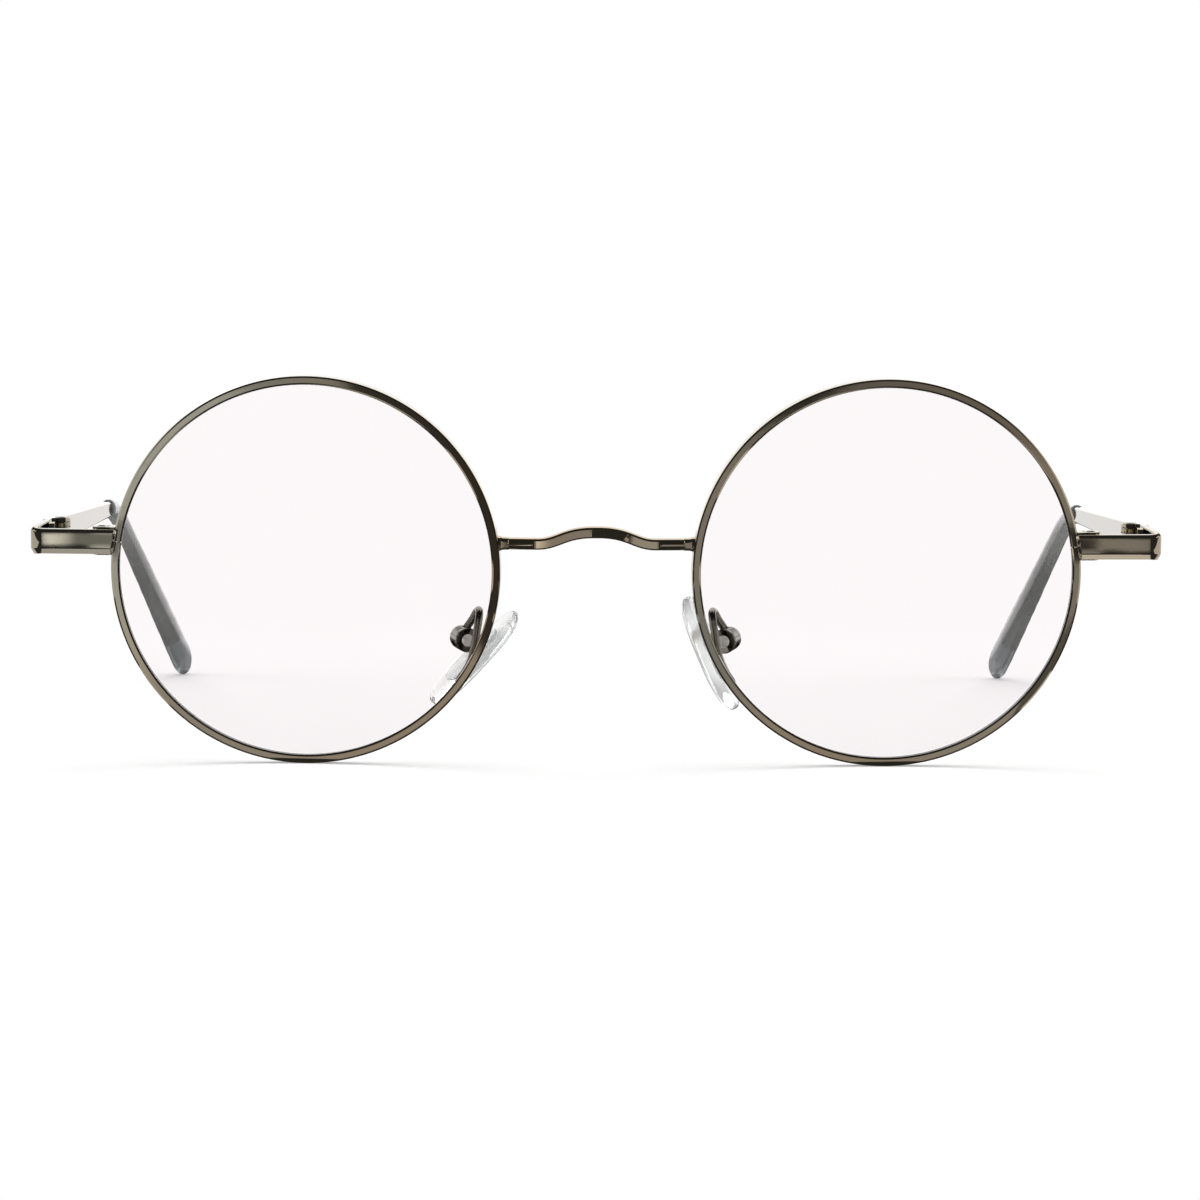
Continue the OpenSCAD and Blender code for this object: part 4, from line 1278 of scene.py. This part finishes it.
class EYEGLASS_OT_studio(bpy.types.Operator):
    """Add the white floor, the soft studio light and the camera at the photograph's angle"""

    bl_idname = "eyeglass.studio"
    bl_label = "Studio"

    def execute(self, context):
        scene = context.scene
        setup = scene.eyeglass_studio
        shape = bmesh.new()
        bmesh.ops.create_circle(shape, cap_ends=True, radius=setup.floor_radius, segments=96)
        floor = linked("floor", mesh_of("floor", shape))
        floor.data.materials.append(made_material("white floor", white_floor))

        scene.world = bpy.data.worlds.new("studio")
        studio_world(scene.world, setup.ambient)
        softbox("back softbox", (0.0, 0.75, 0.95), (1.6, 1.1), setup.back_light)
        for side, word in SIDES.items():
            softbox(f"{word} softbox", (side * 1.05, -0.10, 0.42), (0.8, 0.8), setup.side_light)

        data = bpy.data.cameras.new("camera")
        data.sensor_width = 36.0
        data.lens = setup.camera_lens
        data.clip_start, data.clip_end = 0.01, 20.0
        camera = linked("camera", data)
        camera.location = setup.camera_place
        camera.rotation_euler = (Matrix.Rotation(setup.camera_yaw, 3, "Z")
                                 @ Matrix.Rotation(math.pi / 2 - setup.camera_pitch, 3, "X")
                                 @ Matrix.Rotation(-setup.camera_roll, 3, "Z")).to_euler()
        scene.camera = camera
        scene.view_settings.view_transform = "Standard"
        return {"FINISHED"}


# Panel and run

OPERATORS = (
    EYEGLASS_OT_studio,
    EYEGLASS_OT_rims,
    EYEGLASS_OT_lenses,
    EYEGLASS_OT_closing_barrels,
    EYEGLASS_OT_bridge,
    EYEGLASS_OT_end_pieces,
    EYEGLASS_OT_hinges,
    EYEGLASS_OT_temples,
    EYEGLASS_OT_temple_tips,
    EYEGLASS_OT_pad_arms,
    EYEGLASS_OT_pad_boxes,
    EYEGLASS_OT_nose_pads,
)
GROUPS = {
    "eyeglass_sizes": EyeglassSizes,
    "eyeglass_finish": EyeglassFinish,
    "eyeglass_studio": EyeglassStudio,
}


class EYEGLASS_PT_pieces(bpy.types.Panel):
    """Pieces and settings of the eyeglasses"""

    bl_idname = "EYEGLASS_PT_pieces"
    bl_label = "Eyeglasses"
    bl_space_type = "VIEW_3D"
    bl_region_type = "UI"
    bl_category = "Eyeglasses"

    def draw(self, context):
        for operator in OPERATORS:
            self.layout.operator(operator.bl_idname)
        for name, group in GROUPS.items():
            box = self.layout.box()
            for setting in group.__annotations__:
                box.prop(getattr(context.scene, name), setting)


CLASSES = (*GROUPS.values(), *OPERATORS, EYEGLASS_PT_pieces)


def register():
    for item in CLASSES:
        bpy.utils.register_class(item)
    for name, group in GROUPS.items():
        setattr(bpy.types.Scene, name, bpy.props.PointerProperty(type=group))


def unregister():
    for name in GROUPS:
        delattr(bpy.types.Scene, name)
    for item in reversed(CLASSES):
        bpy.utils.unregister_class(item)


def main():
    register()
    bpy.ops.eyeglass.studio()
    bpy.ops.eyeglass.rims()
    bpy.ops.eyeglass.lenses()
    bpy.ops.eyeglass.closing_barrels()
    bpy.ops.eyeglass.bridge()
    bpy.ops.eyeglass.end_pieces()
    bpy.ops.eyeglass.hinges()
    bpy.ops.eyeglass.temples()
    bpy.ops.eyeglass.temple_tips()
    bpy.ops.eyeglass.pad_arms()
    bpy.ops.eyeglass.pad_boxes()
    bpy.ops.eyeglass.nose_pads()


if __name__ == "__main__":
    main()
